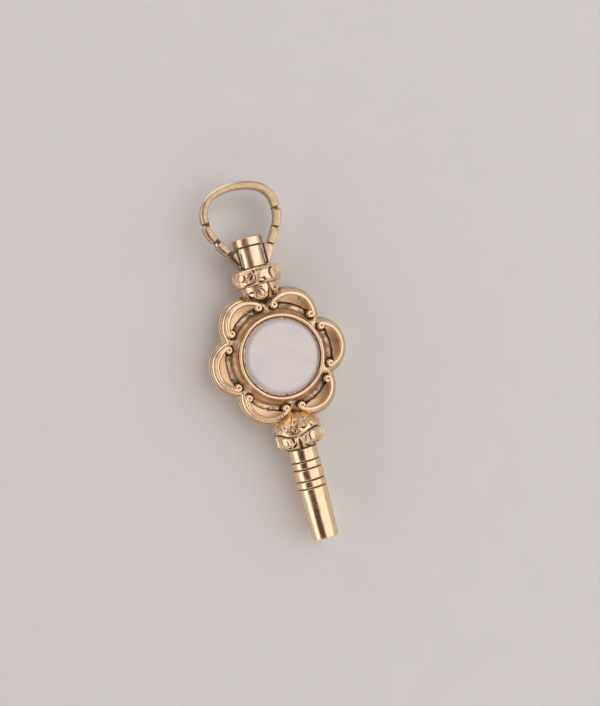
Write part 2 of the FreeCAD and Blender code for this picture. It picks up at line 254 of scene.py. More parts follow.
def ring_object(name, rings, looped=False, marks=None):
    """Closed object through rings of points in millimetres; open ends are closed by a fan to their middle."""
    count, columns, _ = rings.shape
    points = rings.reshape(-1, 3)
    faces = ring_faces(count, columns, looped)
    fans = []
    marks = {key: value.reshape(-1) for key, value in (marks or {}).items()}
    if not looped:
        poles = [rings[0].mean(axis=0), rings[-1].mean(axis=0)]
        points = np.vstack([points, poles])
        for key in marks:
            marks[key] = np.concatenate([marks[key], [0.0, 0.0]])
        column = np.arange(columns)
        beside = (column + 1) % columns
        first, last = count * columns, count * columns + 1
        start = (count - 1) * columns
        fans = [
            np.stack([np.full(columns, first), beside, column], axis=-1),
            np.stack([np.full(columns, last), start + column, start + beside], axis=-1),
        ]
    if signed_volume(points, faces) + sum(signed_volume(points, fan) for fan in fans) < 0:
        faces = faces[:, ::-1]
        fans = [fan[:, ::-1] for fan in fans]
    every_face = faces.tolist() + [face for fan in fans for face in fan.tolist()]
    mesh = bpy.data.meshes.new(name)
    mesh.from_pydata((in_place(points) * MM).tolist(), [], every_face)
    mesh.shade_smooth()
    for key, value in marks.items():
        mesh.attributes.new(key, "FLOAT", "POINT").data.foreach_set("value", value.astype(np.float32))
    piece = bpy.data.objects.new(name, mesh)
    bpy.context.scene.collection.objects.link(piece)
    return piece


def in_place(points):
    """Points about the head's centre and the seam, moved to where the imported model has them."""
    return points + np.array([0.0, HEAD_CENTRE_Y / MM, SEAM_HEIGHT / MM])


def finish_piece(piece, body, slot, material, *replaced):
    """Gives a piece its body and material, and hides the plain pieces that it stands for. The slot is not
    used.
    """
    piece.data.materials.append(material)
    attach(piece, body)
    if replaced:
        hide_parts(*replaced)
    return piece


CORNER_STEP = 0.22


def rounded_path(corners, step):
    """Points along straight runs whose corners are rounded: each corner is x, y and its radius."""
    points = []
    for i, (x, y, radius) in enumerate(corners):
        here = np.array([x, y], float)
        if radius == 0 or i in (0, len(corners) - 1):
            points.append(here)
            continue
        before = np.array(corners[i - 1][:2], float) - here
        after = np.array(corners[i + 1][:2], float) - here
        before /= np.linalg.norm(before)
        after /= np.linalg.norm(after)
        half_angle = math.acos(np.clip(np.dot(before, after), -1, 1)) / 2
        reach = radius / math.tan(half_angle)
        start, end = here + before * reach, here + after * reach
        centre = here + (before + after) / np.linalg.norm(before + after) * radius / math.sin(half_angle)
        first = math.atan2(*(start - centre)[::-1])
        sweep = (math.atan2(*(end - centre)[::-1]) - first + math.pi) % (2 * math.pi) - math.pi
        parts = max(3, int(abs(sweep) / CORNER_STEP))
        for k in range(parts + 1):
            angle = first + sweep * k / parts
            points.append(centre + radius * np.array([math.cos(angle), math.sin(angle)]))
    return evenly_divided(points, step)


def evenly_divided(points, step):
    """The same path with its long runs divided, so that no step is longer than the given one."""
    path = [points[0]]
    for there in points[1:]:
        gap = np.linalg.norm(there - path[-1])
        if gap < 1e-6:
            continue
        parts = max(1, int(math.ceil(gap / step)))
        here = path[-1]
        for k in range(1, parts + 1):
            path.append(here + (there - here) * k / parts)
    return np.array(path)


def spun_about_key(profile, columns):
    """Rings of a profile in radius and length about the key's long axis."""
    angle = round_angles(columns)
    radius = in_columns(profile[:, 0], columns)
    along = in_columns(profile[:, 1], columns)
    return np.stack([radius * np.sin(angle), along, radius * np.cos(angle)], axis=-1)


def spun_about_face(profile, columns, side):
    """Rings of a profile in radius and height about the stone's axis, on the front or the back."""
    angle = round_angles(columns)
    radius = in_columns(profile[:, 0], columns)
    height = in_columns(profile[:, 1], columns)
    return np.stack([radius * np.cos(angle), radius * np.sin(angle), side * height], axis=-1)


# Hand-made unevenness, and relief

GOLDEN_ANGLE = 2.39996
WAVES = 6
WAVES_HEIGHT = 3.2


def wander(a, b, scale, seed):
    """Smooth unevenness between about -1 and 1, the same at each run: waves that cross at uneven angles."""
    total = 0.0
    for k in range(WAVES):
        direction = GOLDEN_ANGLE * (k + 1) + 1.7 * seed
        rate = (1 + 0.37 * k) / scale
        total = total + np.sin(rate * (a * math.cos(direction) + b * math.sin(direction)) + 1.3 * seed + k)
    return total / WAVES_HEIGHT


def ramp(value, low, high):
    """Smooth step from 0 at low to 1 at high."""
    t = np.clip((value - low) / (high - low), 0, 1)
    return t * t * (3 - 2 * t)


def smoothed(values, reach):
    """Average over neighbouring rows and columns; columns wrap round, rows stop at the first and last."""
    shifts = range(-reach, reach + 1)
    rows = np.arange(len(values))
    down = sum(values[np.clip(rows + shift, 0, rows[-1])] for shift in shifts) / len(shifts)
    return sum(np.roll(down, shift, axis=1) for shift in shifts) / len(shifts)


def relief_marks(relief, reach, depth):
    """How deep each place lies in a recess, and how proud it stands, both from 0 to 1."""
    difference = smoothed(smoothed(relief, reach), reach) - relief
    return {
        "recess": np.clip(difference / depth, 0, 1),
        "proud": np.clip(-difference / depth, 0, 1),
    }


def nearest_on_line(x, y, line):
    """Distance of each point from a line of points, and how far along it the nearest place lies."""
    best = np.full(x.shape, np.inf)
    along = np.zeros(x.shape)
    run = 0.0
    for (x0, y0), (x1, y1) in zip(line, line[1:]):
        dx, dy = x1 - x0, y1 - y0
        length = math.hypot(dx, dy)
        t = np.clip(((x - x0) * dx + (y - y0) * dy) / length ** 2, 0, 1)
        gap = np.hypot(x - x0 - t * dx, y - y0 - t * dy)
        nearer = gap < best
        best = np.where(nearer, gap, best)
        along = np.where(nearer, run + t * length, along)
        run += length
    return best, along, run


def domed(gap, half_width):
    """Round bead section: 1 on its middle line, 0 at its half width and beyond."""
    return np.sqrt(np.clip(1 - (gap / half_width) ** 2, 0, 1))


# Struck shells of the head

LOBES = 6
LOBE_PITCH = 2 * math.pi / LOBES
# Share by which each lobe is drawn out or in
LOBE_STRETCH = (0.0, 0.022, 0.022, 0.0, -0.012, 0.008)
# Lobes whose beads carry teeth, and where along the bead these start, are full and end
SERRATION = {3: (0.58, 0.66, 0.80), 4: (0.26, 0.34, 0.78)}
TOOTH_PITCH = 0.34
# Green salts on the face: middle x and y from the head's centre, half width and half height
GREEN_SPOTS = (
    (-1.3, 7.5, 1.2, 0.9), (1.2, 7.3, 0.9, 0.8), (-2.5, 6.2, 0.7, 0.45), (-6.5, -1.7, 0.35, 0.6),
    (-2.9, -6.1, 0.6, 0.3), (-6.9, 4.3, 0.4, 0.4), (4.3, 6.6, 0.3, 0.3),
)
# Rows and columns of the shell's surface
SHELL_COLUMNS = 900
FACE_ROWS = 74
RIDGE_ROWS = 8
SHOULDER_STEPS = (0.25, 0.5, 0.7, 0.85, 1.0)
# Head radii where the struck face starts and the filling ends, and the filling's height
FACE_START = 5.3
CORE_RADIUS = 6.45
CORE_TOP = 0.8
# Lobe radius of the face's rim, and how far its rounded shoulder reaches out
RIM_RADIUS = 3.1
SHOULDER_REACH = 0.16
# Eyes of the scrolls: length of the curl, radius of the cup, height of its bottom and of the dot in it
CURL_LENGTH = 1.9
CUP_RADIUS = 0.5
CUP_BOTTOM = 1.35
DOT_FOOT = 1.42
DOT_RADIUS = 0.11
DOT_HEIGHT = 0.36
# A height below every surface, where a feature has none of its own
NOTHING = -9.0


def scroll_line(sizes, eye_swing):
    """Middle line of one scroll's bead: an arc about the lobe's centre that curls into an eye at each end."""
    halves = []
    for side, swing in ((1, eye_swing[0]), (-1, eye_swing[1])):
        stop = sizes.eye_angle + swing
        half = [(sizes.bead_radius * math.cos(a), side * sizes.bead_radius * math.sin(a))
                for a in np.linspace(0, stop, 30)]
        eye = (sizes.eye_distance * math.cos(stop), sizes.eye_distance * math.sin(stop))
        start = sizes.bead_radius - sizes.eye_distance
        for t in np.linspace(0, 1, 36)[1:]:
            curl = start * (1 - 0.42 * t)
            angle = stop + sizes.eye_turn * t
            half.append((eye[0] + curl * math.cos(angle), side * (eye[1] + curl * math.sin(angle))))
        halves.append(half)
    return halves[1][::-1] + halves[0][1:]


def lobe_reach(offset, radius, lobe_circle):
    """Head radius of a lobe's circle at an angle from the lobe's middle."""
    return lobe_circle * np.cos(offset) + np.sqrt(radius ** 2 - (lobe_circle * np.sin(offset)) ** 2)


def scroll_height(x, y, sizes, lobe):
    """Height of a scroll's bead, hollow and eyes over its lobe; x runs out from the lobe's centre."""
    swing = (0.05 * math.sin(2.1 * lobe + 0.4), 0.05 * math.sin(1.7 * lobe + 2.0))
    gap, along, run = nearest_on_line(x, y, scroll_line(sizes, swing))
    curl = np.clip(1 - np.minimum(along, run - along) / CURL_LENGTH, 0, 1)
    half_width = sizes.bead_half_width * (1 - 0.22 * curl)
    worn = 0.022 * wander(x + 3 * lobe, y, 0.9, lobe)
    teeth = np.zeros(x.shape)
    if lobe in SERRATION:
        start, full, end = SERRATION[lobe]
        teeth = (0.5 + 0.5 * np.cos(2 * math.pi * along / TOOTH_PITCH)) ** 3
        teeth = 0.9 * teeth * ramp(along / run, start, full) * ramp(along / run, end, end - 0.06)
    top = sizes.scroll_crest - 0.02 + worn - 0.05 * curl - 0.16 * teeth
    half_width = half_width - 0.06 * teeth
    rounded = np.clip(1 - (gap / half_width) ** 3, 0, 1) ** 0.5
    bead = np.where(gap < half_width, top - sizes.bead_height * (1 - rounded), NOTHING)

    radius = np.hypot(x, y)
    head_radius = np.hypot(x + sizes.lobe_circle, y)
    across = np.clip((sizes.bead_radius - 0.15 - radius) / 1.15, 0, 1)
    hollow = sizes.scroll_crest - 0.15 - sizes.hollow_drop * across ** 0.7 + 0.5 * worn
    edge = sizes.inner_edge + 0.05 * wander(x, y + 5 * lobe, 0.5, 7)
    inside = ramp(head_radius, edge - 0.05, edge + 0.02)
    floor = sizes.face_height - sizes.trough_depth
    hollow = floor + (hollow - floor) * inside
    hollow = np.where(radius < sizes.bead_radius + 0.15, hollow, NOTHING)

    pits = np.full(x.shape, NOTHING)
    for side, shift in zip((1, -1), swing):
        stop = sizes.eye_angle + shift
        eye_x = sizes.eye_distance * math.cos(stop)
        eye_y = side * sizes.eye_distance * math.sin(stop)
        from_eye = np.hypot(x - eye_x, y - eye_y)
        cup = CUP_BOTTOM + 0.5 * ramp(from_eye, 0.3, CUP_RADIUS)
        dot = DOT_FOOT + DOT_HEIGHT * domed(from_eye, DOT_RADIUS)
        hollow = np.where(from_eye < CUP_RADIUS, np.minimum(hollow, cup), hollow)
        pits = np.where(from_eye < CUP_RADIUS, dot, pits)
    return np.maximum(np.maximum(bead, hollow), pits)


def face_relief(radius, angle, sizes):
    """Height of the struck face over the seam at polar places about the head's centre."""
    lobe = np.round(angle / LOBE_PITCH).astype(int)
    offset = angle - lobe * LOBE_PITCH
    x = radius * np.cos(offset) - sizes.lobe_circle
    y = radius * np.sin(offset)
    from_cleft = LOBE_PITCH / 2 - np.abs(offset)
    across = radius * np.sin(from_cleft)
    cove = np.clip((sizes.cove_foot - radius) / (sizes.cove_foot - sizes.bezel_foot + 0.1), 0, 1)
    sunk = ramp(radius, 5.9, 6.3) * ramp(across, 0.55, 1.1)
    ground = sizes.face_height - sizes.trough_depth * sunk
    floor = ground + (sizes.cove_top - sizes.face_height) * cove ** 1.8
    floor = floor + 0.03 * wander(radius * np.cos(angle), radius * np.sin(angle), 0.35, 3)
    height = floor
    for k in range(LOBES):
        mine = (lobe % LOBES) == k
        scroll = np.full(radius.shape, NOTHING)
        scroll[mine] = scroll_height(x[mine], y[mine], sizes, k)
        height = np.maximum(height, scroll)
    cleft = np.floor(angle / LOBE_PITCH).astype(int) % LOBES
    is_stem_cleft = (cleft == 1) | (cleft == 4)
    rise = np.where(is_stem_cleft, 0.12, sizes.bud_rise)
    half_width = 0.78 - 0.24 * (radius - 5.5)
    bud = sizes.face_height + 0.02 + rise * domed(across, half_width) * ramp(radius, 5.3, 6.0)
    bud = bud + 0.3 * ramp(radius, 6.3, 5.5)
    bud = np.where(across < half_width, bud, NOTHING)
    return np.maximum(height, bud)


def ridge_profile(sizes):
    """Lobe radius and height down the ridged wall: half-round ridges with sharp grooves between them."""
    ridges = int(sizes.ridges)
    places = []
    for k in range(ridges):
        for i in range(RIDGE_ROWS):
            swing = 0.5 - 0.5 * math.cos(math.pi * (i + 0.5) / RIDGE_ROWS)
            places.append((k + swing) / ridges)
    t = np.array([0.0] + places + [1.0])
    bump = np.abs(np.sin(math.pi * t * ridges)) ** 0.75
    radius = sizes.wall_start + sizes.wall_spread * t ** 0.85 + sizes.ridge_depth * bump
    return radius, sizes.face_height * (1 - t)


def stretched(radius, angle):
    """Head radii drawn out or in a little lobe by lobe, as the hand-finished die has them."""
    places = np.arange(LOBES + 1) * LOBE_PITCH
    share_of_lobe = np.interp(angle % (2 * math.pi), places, (*LOBE_STRETCH, LOBE_STRETCH[0]))
    return radius * (1 + share_of_lobe * ramp(radius, 6.0, 9.0))


def shell_rings(sizes):
    """Rings of points of a front shell: face, shoulder, ridged wall, seam and inner bore."""
    angle = (np.arange(SHELL_COLUMNS) / SHELL_COLUMNS * 2 + 1 / LOBES) * math.pi
    offset = angle - np.round(angle / LOBE_PITCH) * LOBE_PITCH
    share_out = np.linspace(0, 1, FACE_ROWS)[:, None] ** 0.92
    rim = lobe_reach(offset, RIM_RADIUS, sizes.lobe_circle)
    radius = FACE_START + share_out * (rim - FACE_START)[None, :]
    angles = np.repeat(angle[None, :], FACE_ROWS, axis=0)
    height = face_relief(radius, angles, sizes)

    edge_height = height[-1]
    shoulder_radii, shoulder_heights = [], []
    for t in SHOULDER_STEPS:
        turn_angle = t * math.pi / 2
        reach = RIM_RADIUS + SHOULDER_REACH * math.sin(turn_angle)
        shoulder_radii.append(lobe_reach(offset, reach, sizes.lobe_circle))
        drop = (edge_height - sizes.face_height) * (1 - math.cos(turn_angle) ** 0.8)
        shoulder_heights.append(edge_height - drop)
    wall_radius, wall_height = ridge_profile(sizes)
    wall_radii = [lobe_reach(offset, r, sizes.lobe_circle) for r in wall_radius]
    wall_heights = [np.full(SHELL_COLUMNS, z) for z in wall_height]
    bore = FACE_START - 0.4
    inner = [(CORE_RADIUS, 0.0), (CORE_RADIUS, CORE_TOP), (bore, CORE_TOP), (bore, sizes.face_height)]
    inner_radii = [np.full(SHELL_COLUMNS, r) for r, _ in inner]
    inner_heights = [np.full(SHELL_COLUMNS, z) for _, z in inner]

    radii = np.vstack([radius, shoulder_radii, wall_radii, inner_radii])
    heights = np.vstack([height, shoulder_heights, wall_heights, inner_heights])
    every_angle = np.repeat(angle[None, :], radii.shape[0], axis=0)
    jitter = 0.01 * wander(every_angle * 9, heights * 4, 1.0, 5) - 0.01
    is_wall = np.zeros(radii.shape[0])
    wall_first = FACE_ROWS + len(SHOULDER_STEPS)
    is_wall[wall_first:wall_first + len(wall_radius)] = 1
    radii = stretched(radii + jitter * is_wall[:, None], every_angle)
    limit = HEAD_HALF_WIDTH / MM / np.maximum(np.abs(np.cos(every_angle)), 1e-6)
    return np.minimum(radii, limit), every_angle, heights, is_wall


def cavity_marks(heights, is_wall, sizes):
    """Recess and proud marks: from the relief on the face, and from the ridges on the wall. The recess mark
    sets where painted shade and dirt darken the gold, on the wall as dark lines in the grooves between the
    ridges.
    """
    face = relief_marks(heights, 5, 0.16)
    fine = relief_marks(heights, 2, 0.07)
    ridge_rows = np.where(is_wall > 0)[0]
    wall_radius, wall_height = ridge_profile(sizes)
    places = 1 - wall_height / sizes.face_height
    bump = (wall_radius - sizes.wall_start - sizes.wall_spread * places ** 0.85) / sizes.ridge_depth
    marks = {}
    for key in ("recess", "proud"):
        marks[key] = np.clip(np.maximum(face[key], 0.8 * fine[key]), 0, 1)
    under_bead = np.where(places < 0.5 / sizes.ridges, 0.3, 1.0)
    # Painted shade and dirt in the grooves between the ridges, lighter under the bead.
    marks["recess"][ridge_rows] = (under_bead * np.clip(1.3 * (1 - np.clip(bump, 0, 1)), 0, 1))[:, None]
    marks["proud"][ridge_rows] = np.clip(bump, 0, 1)[:, None] ** 4
    return marks


def struck_shell(name, node, side, sizes, material):
    """One struck shell with its scrolls, eyes, straps and ridged wall."""
    radii, angle, heights, is_wall = shell_rings(sizes)
    marks = cavity_marks(heights, is_wall, sizes)
    # Less painted shade and dirt on the bead's outer flank, and unevenly less at the scroll's inner edge.
    offset = angle - np.round(angle / LOBE_PITCH) * LOBE_PITCH
    from_lobe = np.hypot(radii * np.cos(offset) - sizes.lobe_circle, radii * np.sin(offset))
    flank = ramp(from_lobe, sizes.bead_radius + 0.05, sizes.bead_radius + 0.2) * (1 - is_wall)[:, None]
    marks["recess"] *= 1 - 0.85 * flank
    x, y = radii * np.cos(angle), radii * np.sin(angle)
    on_face = 1 - ramp(np.arange(len(radii)), FACE_ROWS - 1, FACE_ROWS)[:, None]
    low = (1 - ramp(heights, 1.3, 1.5)) * on_face
    trough = ramp(radii, 5.75, 6.2) * (1 - ramp(radii, 7.1, 7.4)) * low
    patches = ramp(wander(x, y, 1.1, 11) + 0.4 * wander(x, y, 0.4, 12), -0.1, 0.7)
    spots = np.zeros(x.shape)
    for centre_x, centre_y, wide, tall in GREEN_SPOTS:
        spots = spots + np.exp(-((x - centre_x) / wide) ** 2 - ((y - centre_y) / tall) ** 2)
    green = 0.5 * trough * patches + 1.3 * spots * (1 - ramp(heights, 1.6, 1.95))
    marks["verdigris"] = np.clip(green, 0, 1)
    uneven = 0.35 + 0.65 * ramp(wander(x, y, 3.0, 21), -0.35, 0.25)
    marks["ground"] = ramp(radii, 5.6, 6.0) * (1 - ramp(radii, 7.2, 7.6)) * low * uneven
    at_inner_edge = np.exp(-((radii - sizes.inner_edge) / 0.2) ** 2) * on_face
    marks["recess"] *= 1 - (0.75 - 0.6 * uneven) * at_inner_edge
    marks["satin"] = (1 - ramp(heights, sizes.scroll_crest - 0.16, sizes.scroll_crest - 0.08)) * on_face
    rings = np.stack([x, y, side * heights], axis=-1)
    piece = ring_object(name, rings, looped=True, marks=marks)
    return finish_piece(piece, KEY_BODY, "rose_gold", material, node)


# Bezels, stones and their settings

# Radius of the circle along which the lip's and the cement's unevenness is read
SETTING_CIRCLE = 4.9
SETTING_COLUMNS = 720
STONE_COLUMNS = 256
# Section of the cement in the groove: share of its half width, and lift
FILL_SECTION = (
    (-1.0, -0.09), (-1.0, 0.0), (-0.5, 0.045), (0.2, 0.055), (0.8, 0.05), (1.0, 0.0), (1.0, -0.09),
)


def stone_sizes(side):
    """Bottom and top of a stone over the seam, and its radius."""
    node = "front_stone" if side == FRONT else "back_stone"
    low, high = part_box(node)
    bottom, top = sorted(abs(height_of_key(z)) for z in (low.z, high.z))
    return bottom, top, high.x / MM


def uneven_round(angle, scale, seed):
    """Unevenness round the setting."""
    return wander(SETTING_CIRCLE * np.cos(angle), SETTING_CIRCLE * np.sin(angle), scale, seed)


def bezel(name, node, side, sizes, material):
    """Rubbed-over bezel: a rolled crest, a groove, and a thin ragged lip burnished down on the stone."""
    _, stone_top, stone_radius = stone_sizes(side)
    crest = abs(height_of_key(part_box(node)[1 if side == FRONT else 0].z))
    girdle = stone_top - sizes.stone_bevel_fall
    lip_top = girdle + 0.15
    lip = sizes.lip_radius
    profile = rounded_path([
        (stone_radius + 0.05, sizes.face_height + 0.4, 0),
        (sizes.bezel_foot, sizes.face_height + 0.4, 0.05),
        (sizes.bezel_foot - 0.02, sizes.cove_top + 0.08, 0.08),
        (sizes.bezel_foot - 0.12, sizes.cove_top + 0.22, 0.08),
        (sizes.bezel_foot - 0.14, crest - 0.28, 0.2),
        (sizes.bezel_crest_radius, crest + 0.04, 0.2),
        (lip + 0.16, lip_top + 0.14, 0.08),
        (lip + 0.09, lip_top - 0.06, 0.03),
        (lip + 0.04, lip_top - 0.05, 0.03),
        (lip, lip_top + 0.01, 0.03),
        (lip - 0.09, lip_top, 0.03),
        (lip - 0.1, lip_top - 0.07, 0.01),
        (stone_radius + 0.05, girdle, 0),
    ], 0.05)
    top = profile[:, 1].max()
    profile[:, 1] += (crest - top) * ramp(profile[:, 1], crest - 0.5, top)
    rings = spun_about_face(profile, SETTING_COLUMNS, side)
    angle = round_angles(SETTING_COLUMNS)
    radius = in_columns(profile[:, 0], SETTING_COLUMNS)
    height = in_columns(profile[:, 1], SETTING_COLUMNS)
    inner = ramp(radius, lip + 0.2, lip) * ramp(height, girdle, girdle + 0.05)
    ripple = uneven_round(angle, 0.2, 4 + side)
    coarse = uneven_round(angle, 1.6, 8 + side)
    edge = ramp(radius, lip + 0.02, lip - 0.09)
    shift = inner * (0.05 * coarse + 0.07 * edge * ripple)
    outer = (1 - inner) * 0.012 * coarse
    rings[..., 0] += (shift + outer) * np.cos(angle)
    rings[..., 1] += (shift + outer) * np.sin(angle)
    rings[..., 2] += side * 0.02 * edge * inner * ripple
    # Painted shade and dirt at the bezel's foot, in the groove behind the lip and under the lip.
    foot = 1 - ramp(height, sizes.cove_top + 0.02, sizes.cove_top + 0.2)
    groove = np.exp(-((radius - lip - 0.08) / 0.06) ** 2) * inner
    under = ramp(radius, lip - 0.04, lip - 0.12) * inner
    marks = {
        "recess": np.clip(foot + groove + 0.6 * under + 0.25 * inner, 0, 1),
        "proud": ramp(height, crest - 0.16, crest),
    }
    piece = ring_object(name, rings, looped=True, marks=marks)
    return finish_piece(piece, KEY_BODY, "bezel_gold", material, node)


def stone(name, node, side, slot, sizes, material):
    """Flat stone with a bevelled edge, its corners softened by polishing."""
    bottom, top, radius = stone_sizes(side)
    girdle = top - sizes.stone_bevel_fall
    profile = rounded_path([
        (0.3, bottom, 0),
        (radius, bottom, 0.08),
        (radius, girdle, 0.06),
        (radius - sizes.stone_bevel, top, 0.35),
        (0.3, top + 0.004, 0),
    ], 0.25)
    piece = ring_object(name, spun_about_face(profile, STONE_COLUMNS, side))
    return finish_piece(piece, KEY_BODY, slot, material, node)


def setting_line(name, side, sizes, material):
    """Dark, ragged fill of old cement and dirt in the groove round the stone."""
    _, top, _ = stone_sizes(side)
    angle = round_angles(SETTING_COLUMNS)
    ragged = 0.03 * uneven_round(angle, 0.18, 21 + side)
    broad = 0.05 * uneven_round(angle, 1.4, 23 + side)
    middle = sizes.lip_radius + 0.085 + 0.5 * broad
    half = np.clip(0.075 + ragged + broad, 0.035, 0.16)
    level = top - sizes.stone_bevel_fall + 0.13
    rows = []
    for across, lift in FILL_SECTION:
        r = middle + across * half
        z = level + lift + 0.012 * wander(r * np.cos(angle), r * np.sin(angle), 0.12, 31)
        rows.append(np.stack([r * np.cos(angle), r * np.sin(angle), side * z], axis=-1))
    piece = ring_object(name, np.array(rows), looped=True)
    return finish_piece(piece, KEY_BODY, "setting_cement", material)


# Chased cups and collars

CUP_COLUMNS = 480
COLLAR_COLUMNS = 640
# Radius at which the upper cup's leaves are laid out
LEAF_RADIUS = 2.2


def wrapped(angle, centre):
    """Angle from a centre, between minus and plus half a turn."""
    return (angle - centre + math.pi) % (2 * math.pi) - math.pi


def boss(across, along, centre, half_width, half_length):
    """Round-topped oval boss, 1 in its middle."""
    return domed(np.hypot((across - centre[0]) / half_width, (along - centre[1]) / half_length), 1.0)


# Width of a stroke at its ends, and the share of its length over which it thins
STROKE_END = 0.45
STROKE_THINNING = 0.35
# Lips beside a stroke: height as a share of its depth, place and width in half widths
STROKE_LIP = (0.16, 1.4, 0.4)


def stroke(across, along, line, half_width):
    """Chaser's stroke along a line: 1 along its middle, thinning to its ends, with a low lip on each side."""
    xs, ys = zip(*line)
    reach = 2 * half_width
    near = ((across > min(xs) - reach) & (across < max(xs) + reach)
            & (along > min(ys) - reach) & (along < max(ys) + reach))
    result = np.zeros(across.shape)
    gap, place, run = nearest_on_line(across[near], along[near], line)
    from_end = np.minimum(place, run - place)
    thin = STROKE_END + (1 - STROKE_END) * np.clip(from_end / (STROKE_THINNING * run), 0, 1)
    gap = gap / (half_width * thin)
    lip_height, lip_place, lip_width = STROKE_LIP
    result[near] = np.clip(1 - gap ** 2, 0, 1) - lip_height * np.exp(-((gap - lip_place) / lip_width) ** 2)
    return result


def chased(across, along, strokes, bosses, depth):
    """Relief of a list of strokes and bosses; strokes are cut in, bosses stand up."""
    relief = np.zeros(across.shape)
    for centre, half_width, half_length, rise in bosses:
        relief = np.maximum(relief, rise * boss(across, along, centre, half_width, half_length))
    for line, half_width, cut in strokes:
        relief -= depth * cut * stroke(across, along, line, half_width)
    return relief


# Strokes: points across and along the piece, half width, and depth as a share of the chasing depth.
# Bosses: middle, half width, half length and rise.
UPPER_COLLAR_STROKES = (
    (((-2.5, 0.34), (-2.42, 0.03), (-2.65, -0.28), (-2.93, -0.37)), 0.14, 1.0),
    (((-2.97, 0.56), (-3.46, 0.28), (-3.56, -0.16), (-3.25, -0.4)), 0.12, 0.6),
    (((-1.26, 0.19), (-1.52, -0.12), (-1.82, -0.41)), 0.18, 1.2),
    (((-1.75, 0.25), (-2.05, -0.1)), 0.1, 0.5),
    (((-1.2, 0.84), (-1.0, 0.59), (-0.98, 0.34)), 0.13, 0.9),
    (((-0.96, 0.1), (-0.98, -0.3), (-1.05, -0.65)), 0.12, 0.4),
    (((-0.03, 0.78), (0.06, 0.47)), 0.09, 0.5),
    (((-0.72, -0.72), (-0.51, -0.84), (-0.07, -0.9)), 0.14, 1.1),
    (((-0.2, -0.44), (0.13, -0.47), (0.23, -0.66), (0.07, -0.81)), 0.13, 1.0),
    (((-2.8, -0.97), (-1.84, -0.86), (-1.07, -0.75)), 0.13, 0.8),
    (((1.61, 0.66), (1.15, 0.47), (1.01, 0.09), (1.11, -0.34), (1.26, -0.72)), 0.2, 1.3),
    (((2.16, 0.9), (2.6, 0.47), (2.6, -0.03), (2.16, -0.6), (1.61, -0.9)), 0.12, 0.7),
    (((1.74, 0.19), (2.05, 0.03), (2.1, -0.09)), 0.1, 0.8),
    (((3.2, 0.3), (3.0, -0.05), (2.75, -0.4)), 0.17, 1.1),
    (((3.75, 0.84), (3.6, 0.5), (3.68, 0.1)), 0.13, 0.8),
    (((4.9, 0.75), (5.05, 0.3), (4.9, -0.1)), 0.13, 0.8),
    (((4.3, -0.85), (4.7, -0.62), (5.2, -0.7)), 0.13, 0.9),
)
UPPER_COLLAR_BOSSES = (
    ((-2.9, 0.06), 0.42, 0.5, 0.18),
    ((1.65, -0.2), 0.5, 0.62, 0.2),
    ((-0.22, -0.66), 0.34, 0.22, 0.16),
    ((-4.35, -0.15), 0.5, 0.5, 0.12),
    ((4.2, 0.05), 0.5, 0.55, 0.1),
)
# How far the collar's chasing sits to the right of the key's middle
UPPER_CHASING_SHIFT = 0.28


def upper_collar_relief(angle, along, radius, low, high, depth):
    """Chasing of the upper collar: oval eyes in curved strokes, slanting cuts and a curl at the foot."""
    up = along - (low + high) / 2
    relief = 0.05 * np.cos(4 * (angle - 0.5)) * np.ones(along.shape)
    for half in (0, 1):
        across = wrapped(angle, math.pi * half) * radius - UPPER_CHASING_SHIFT
        relief += chased(across, up, UPPER_COLLAR_STROKES, UPPER_COLLAR_BOSSES, depth)
    return relief


UPPER_LEAF_STROKES = (
    (((-1.1, -1.98), (-0.7, -1.88), (-0.35, -2.0)), 0.11, 1.3),
    (((0.24, -1.41), (0.0, -1.84), (-0.27, -2.65)), 0.09, 0.5),
    (((0.24, -1.41), (0.8, -1.84), (1.08, -2.4)), 0.09, 0.6),
    (((0.5, -1.3), (0.75, -1.55)), 0.1, 0.7),
    (((-0.9, -2.45), (-0.55, -2.5)), 0.08, 0.6),
)
UPPER_LEAF_BOSSES = (
    ((-0.75, -1.55), 0.55, 0.3, 0.07),
    ((-0.7, -2.25), 0.5, 0.22, 0.08),
    ((0.45, -2.2), 0.45, 0.6, 0.06),
    ((0.9, -1.45), 0.35, 0.3, 0.06),
)


def upper_leaf_relief(angle, along, radius, collar_middle, tip, depth):
    """Four broad overlapping leaves that hang from the upper collar, with deep cuts between them."""
    up = along - collar_middle
    relief = np.zeros(along.shape)
    for k in range(4):
        across = wrapped(angle, math.radians(-21 + 90 * k)) * radius
        relief += chased(across, up, UPPER_LEAF_STROKES, UPPER_LEAF_BOSSES, depth)
        gap = across - 1.62 - 0.12 * np.sin(3 * up)
        relief -= (0.16 + depth) * np.exp(-(gap / 0.15) ** 2)
        point = tip + 0.28 * ((across - 0.45) / 0.9) ** 2
        relief -= 0.5 * ramp(point - along, -0.05, 0.3) * (np.abs(across) < 1.62)
    return relief


LOWER_LEAF_STROKES = (
    (((1.25, -8.1), (1.02, -8.2)), 0.09, 0.9),
    (((1.12, -8.58), (0.85, -8.62)), 0.09, 0.9),
    (((0.18, -9.21), (0.5, -9.33), (0.94, -9.24)), 0.12, 1.4),
    (((-0.96, -8.8), (-1.05, -9.06), (-1.2, -9.25)), 0.1, 1.1),
    (((-0.7, -9.18), (-0.6, -9.43), (-0.54, -9.71)), 0.1, 1.0),
    (((-0.1, -9.5), (0.0, -9.8)), 0.1, 0.7),
    (((-0.45, -8.2), (-0.55, -8.6)), 0.07, 0.4),
    (((0.2, -8.0), (0.1, -8.5)), 0.07, 0.3),
)
LOWER_LEAF_BOSSES = (
    ((0.05, -8.5), 0.95, 1.3, 0.24),
    ((-0.8, -8.9), 0.3, 0.5, 0.14),
    ((0.6, -9.0), 0.35, 0.28, 0.26),
    ((0.05, -9.55), 0.35, 0.25, 0.14),
)
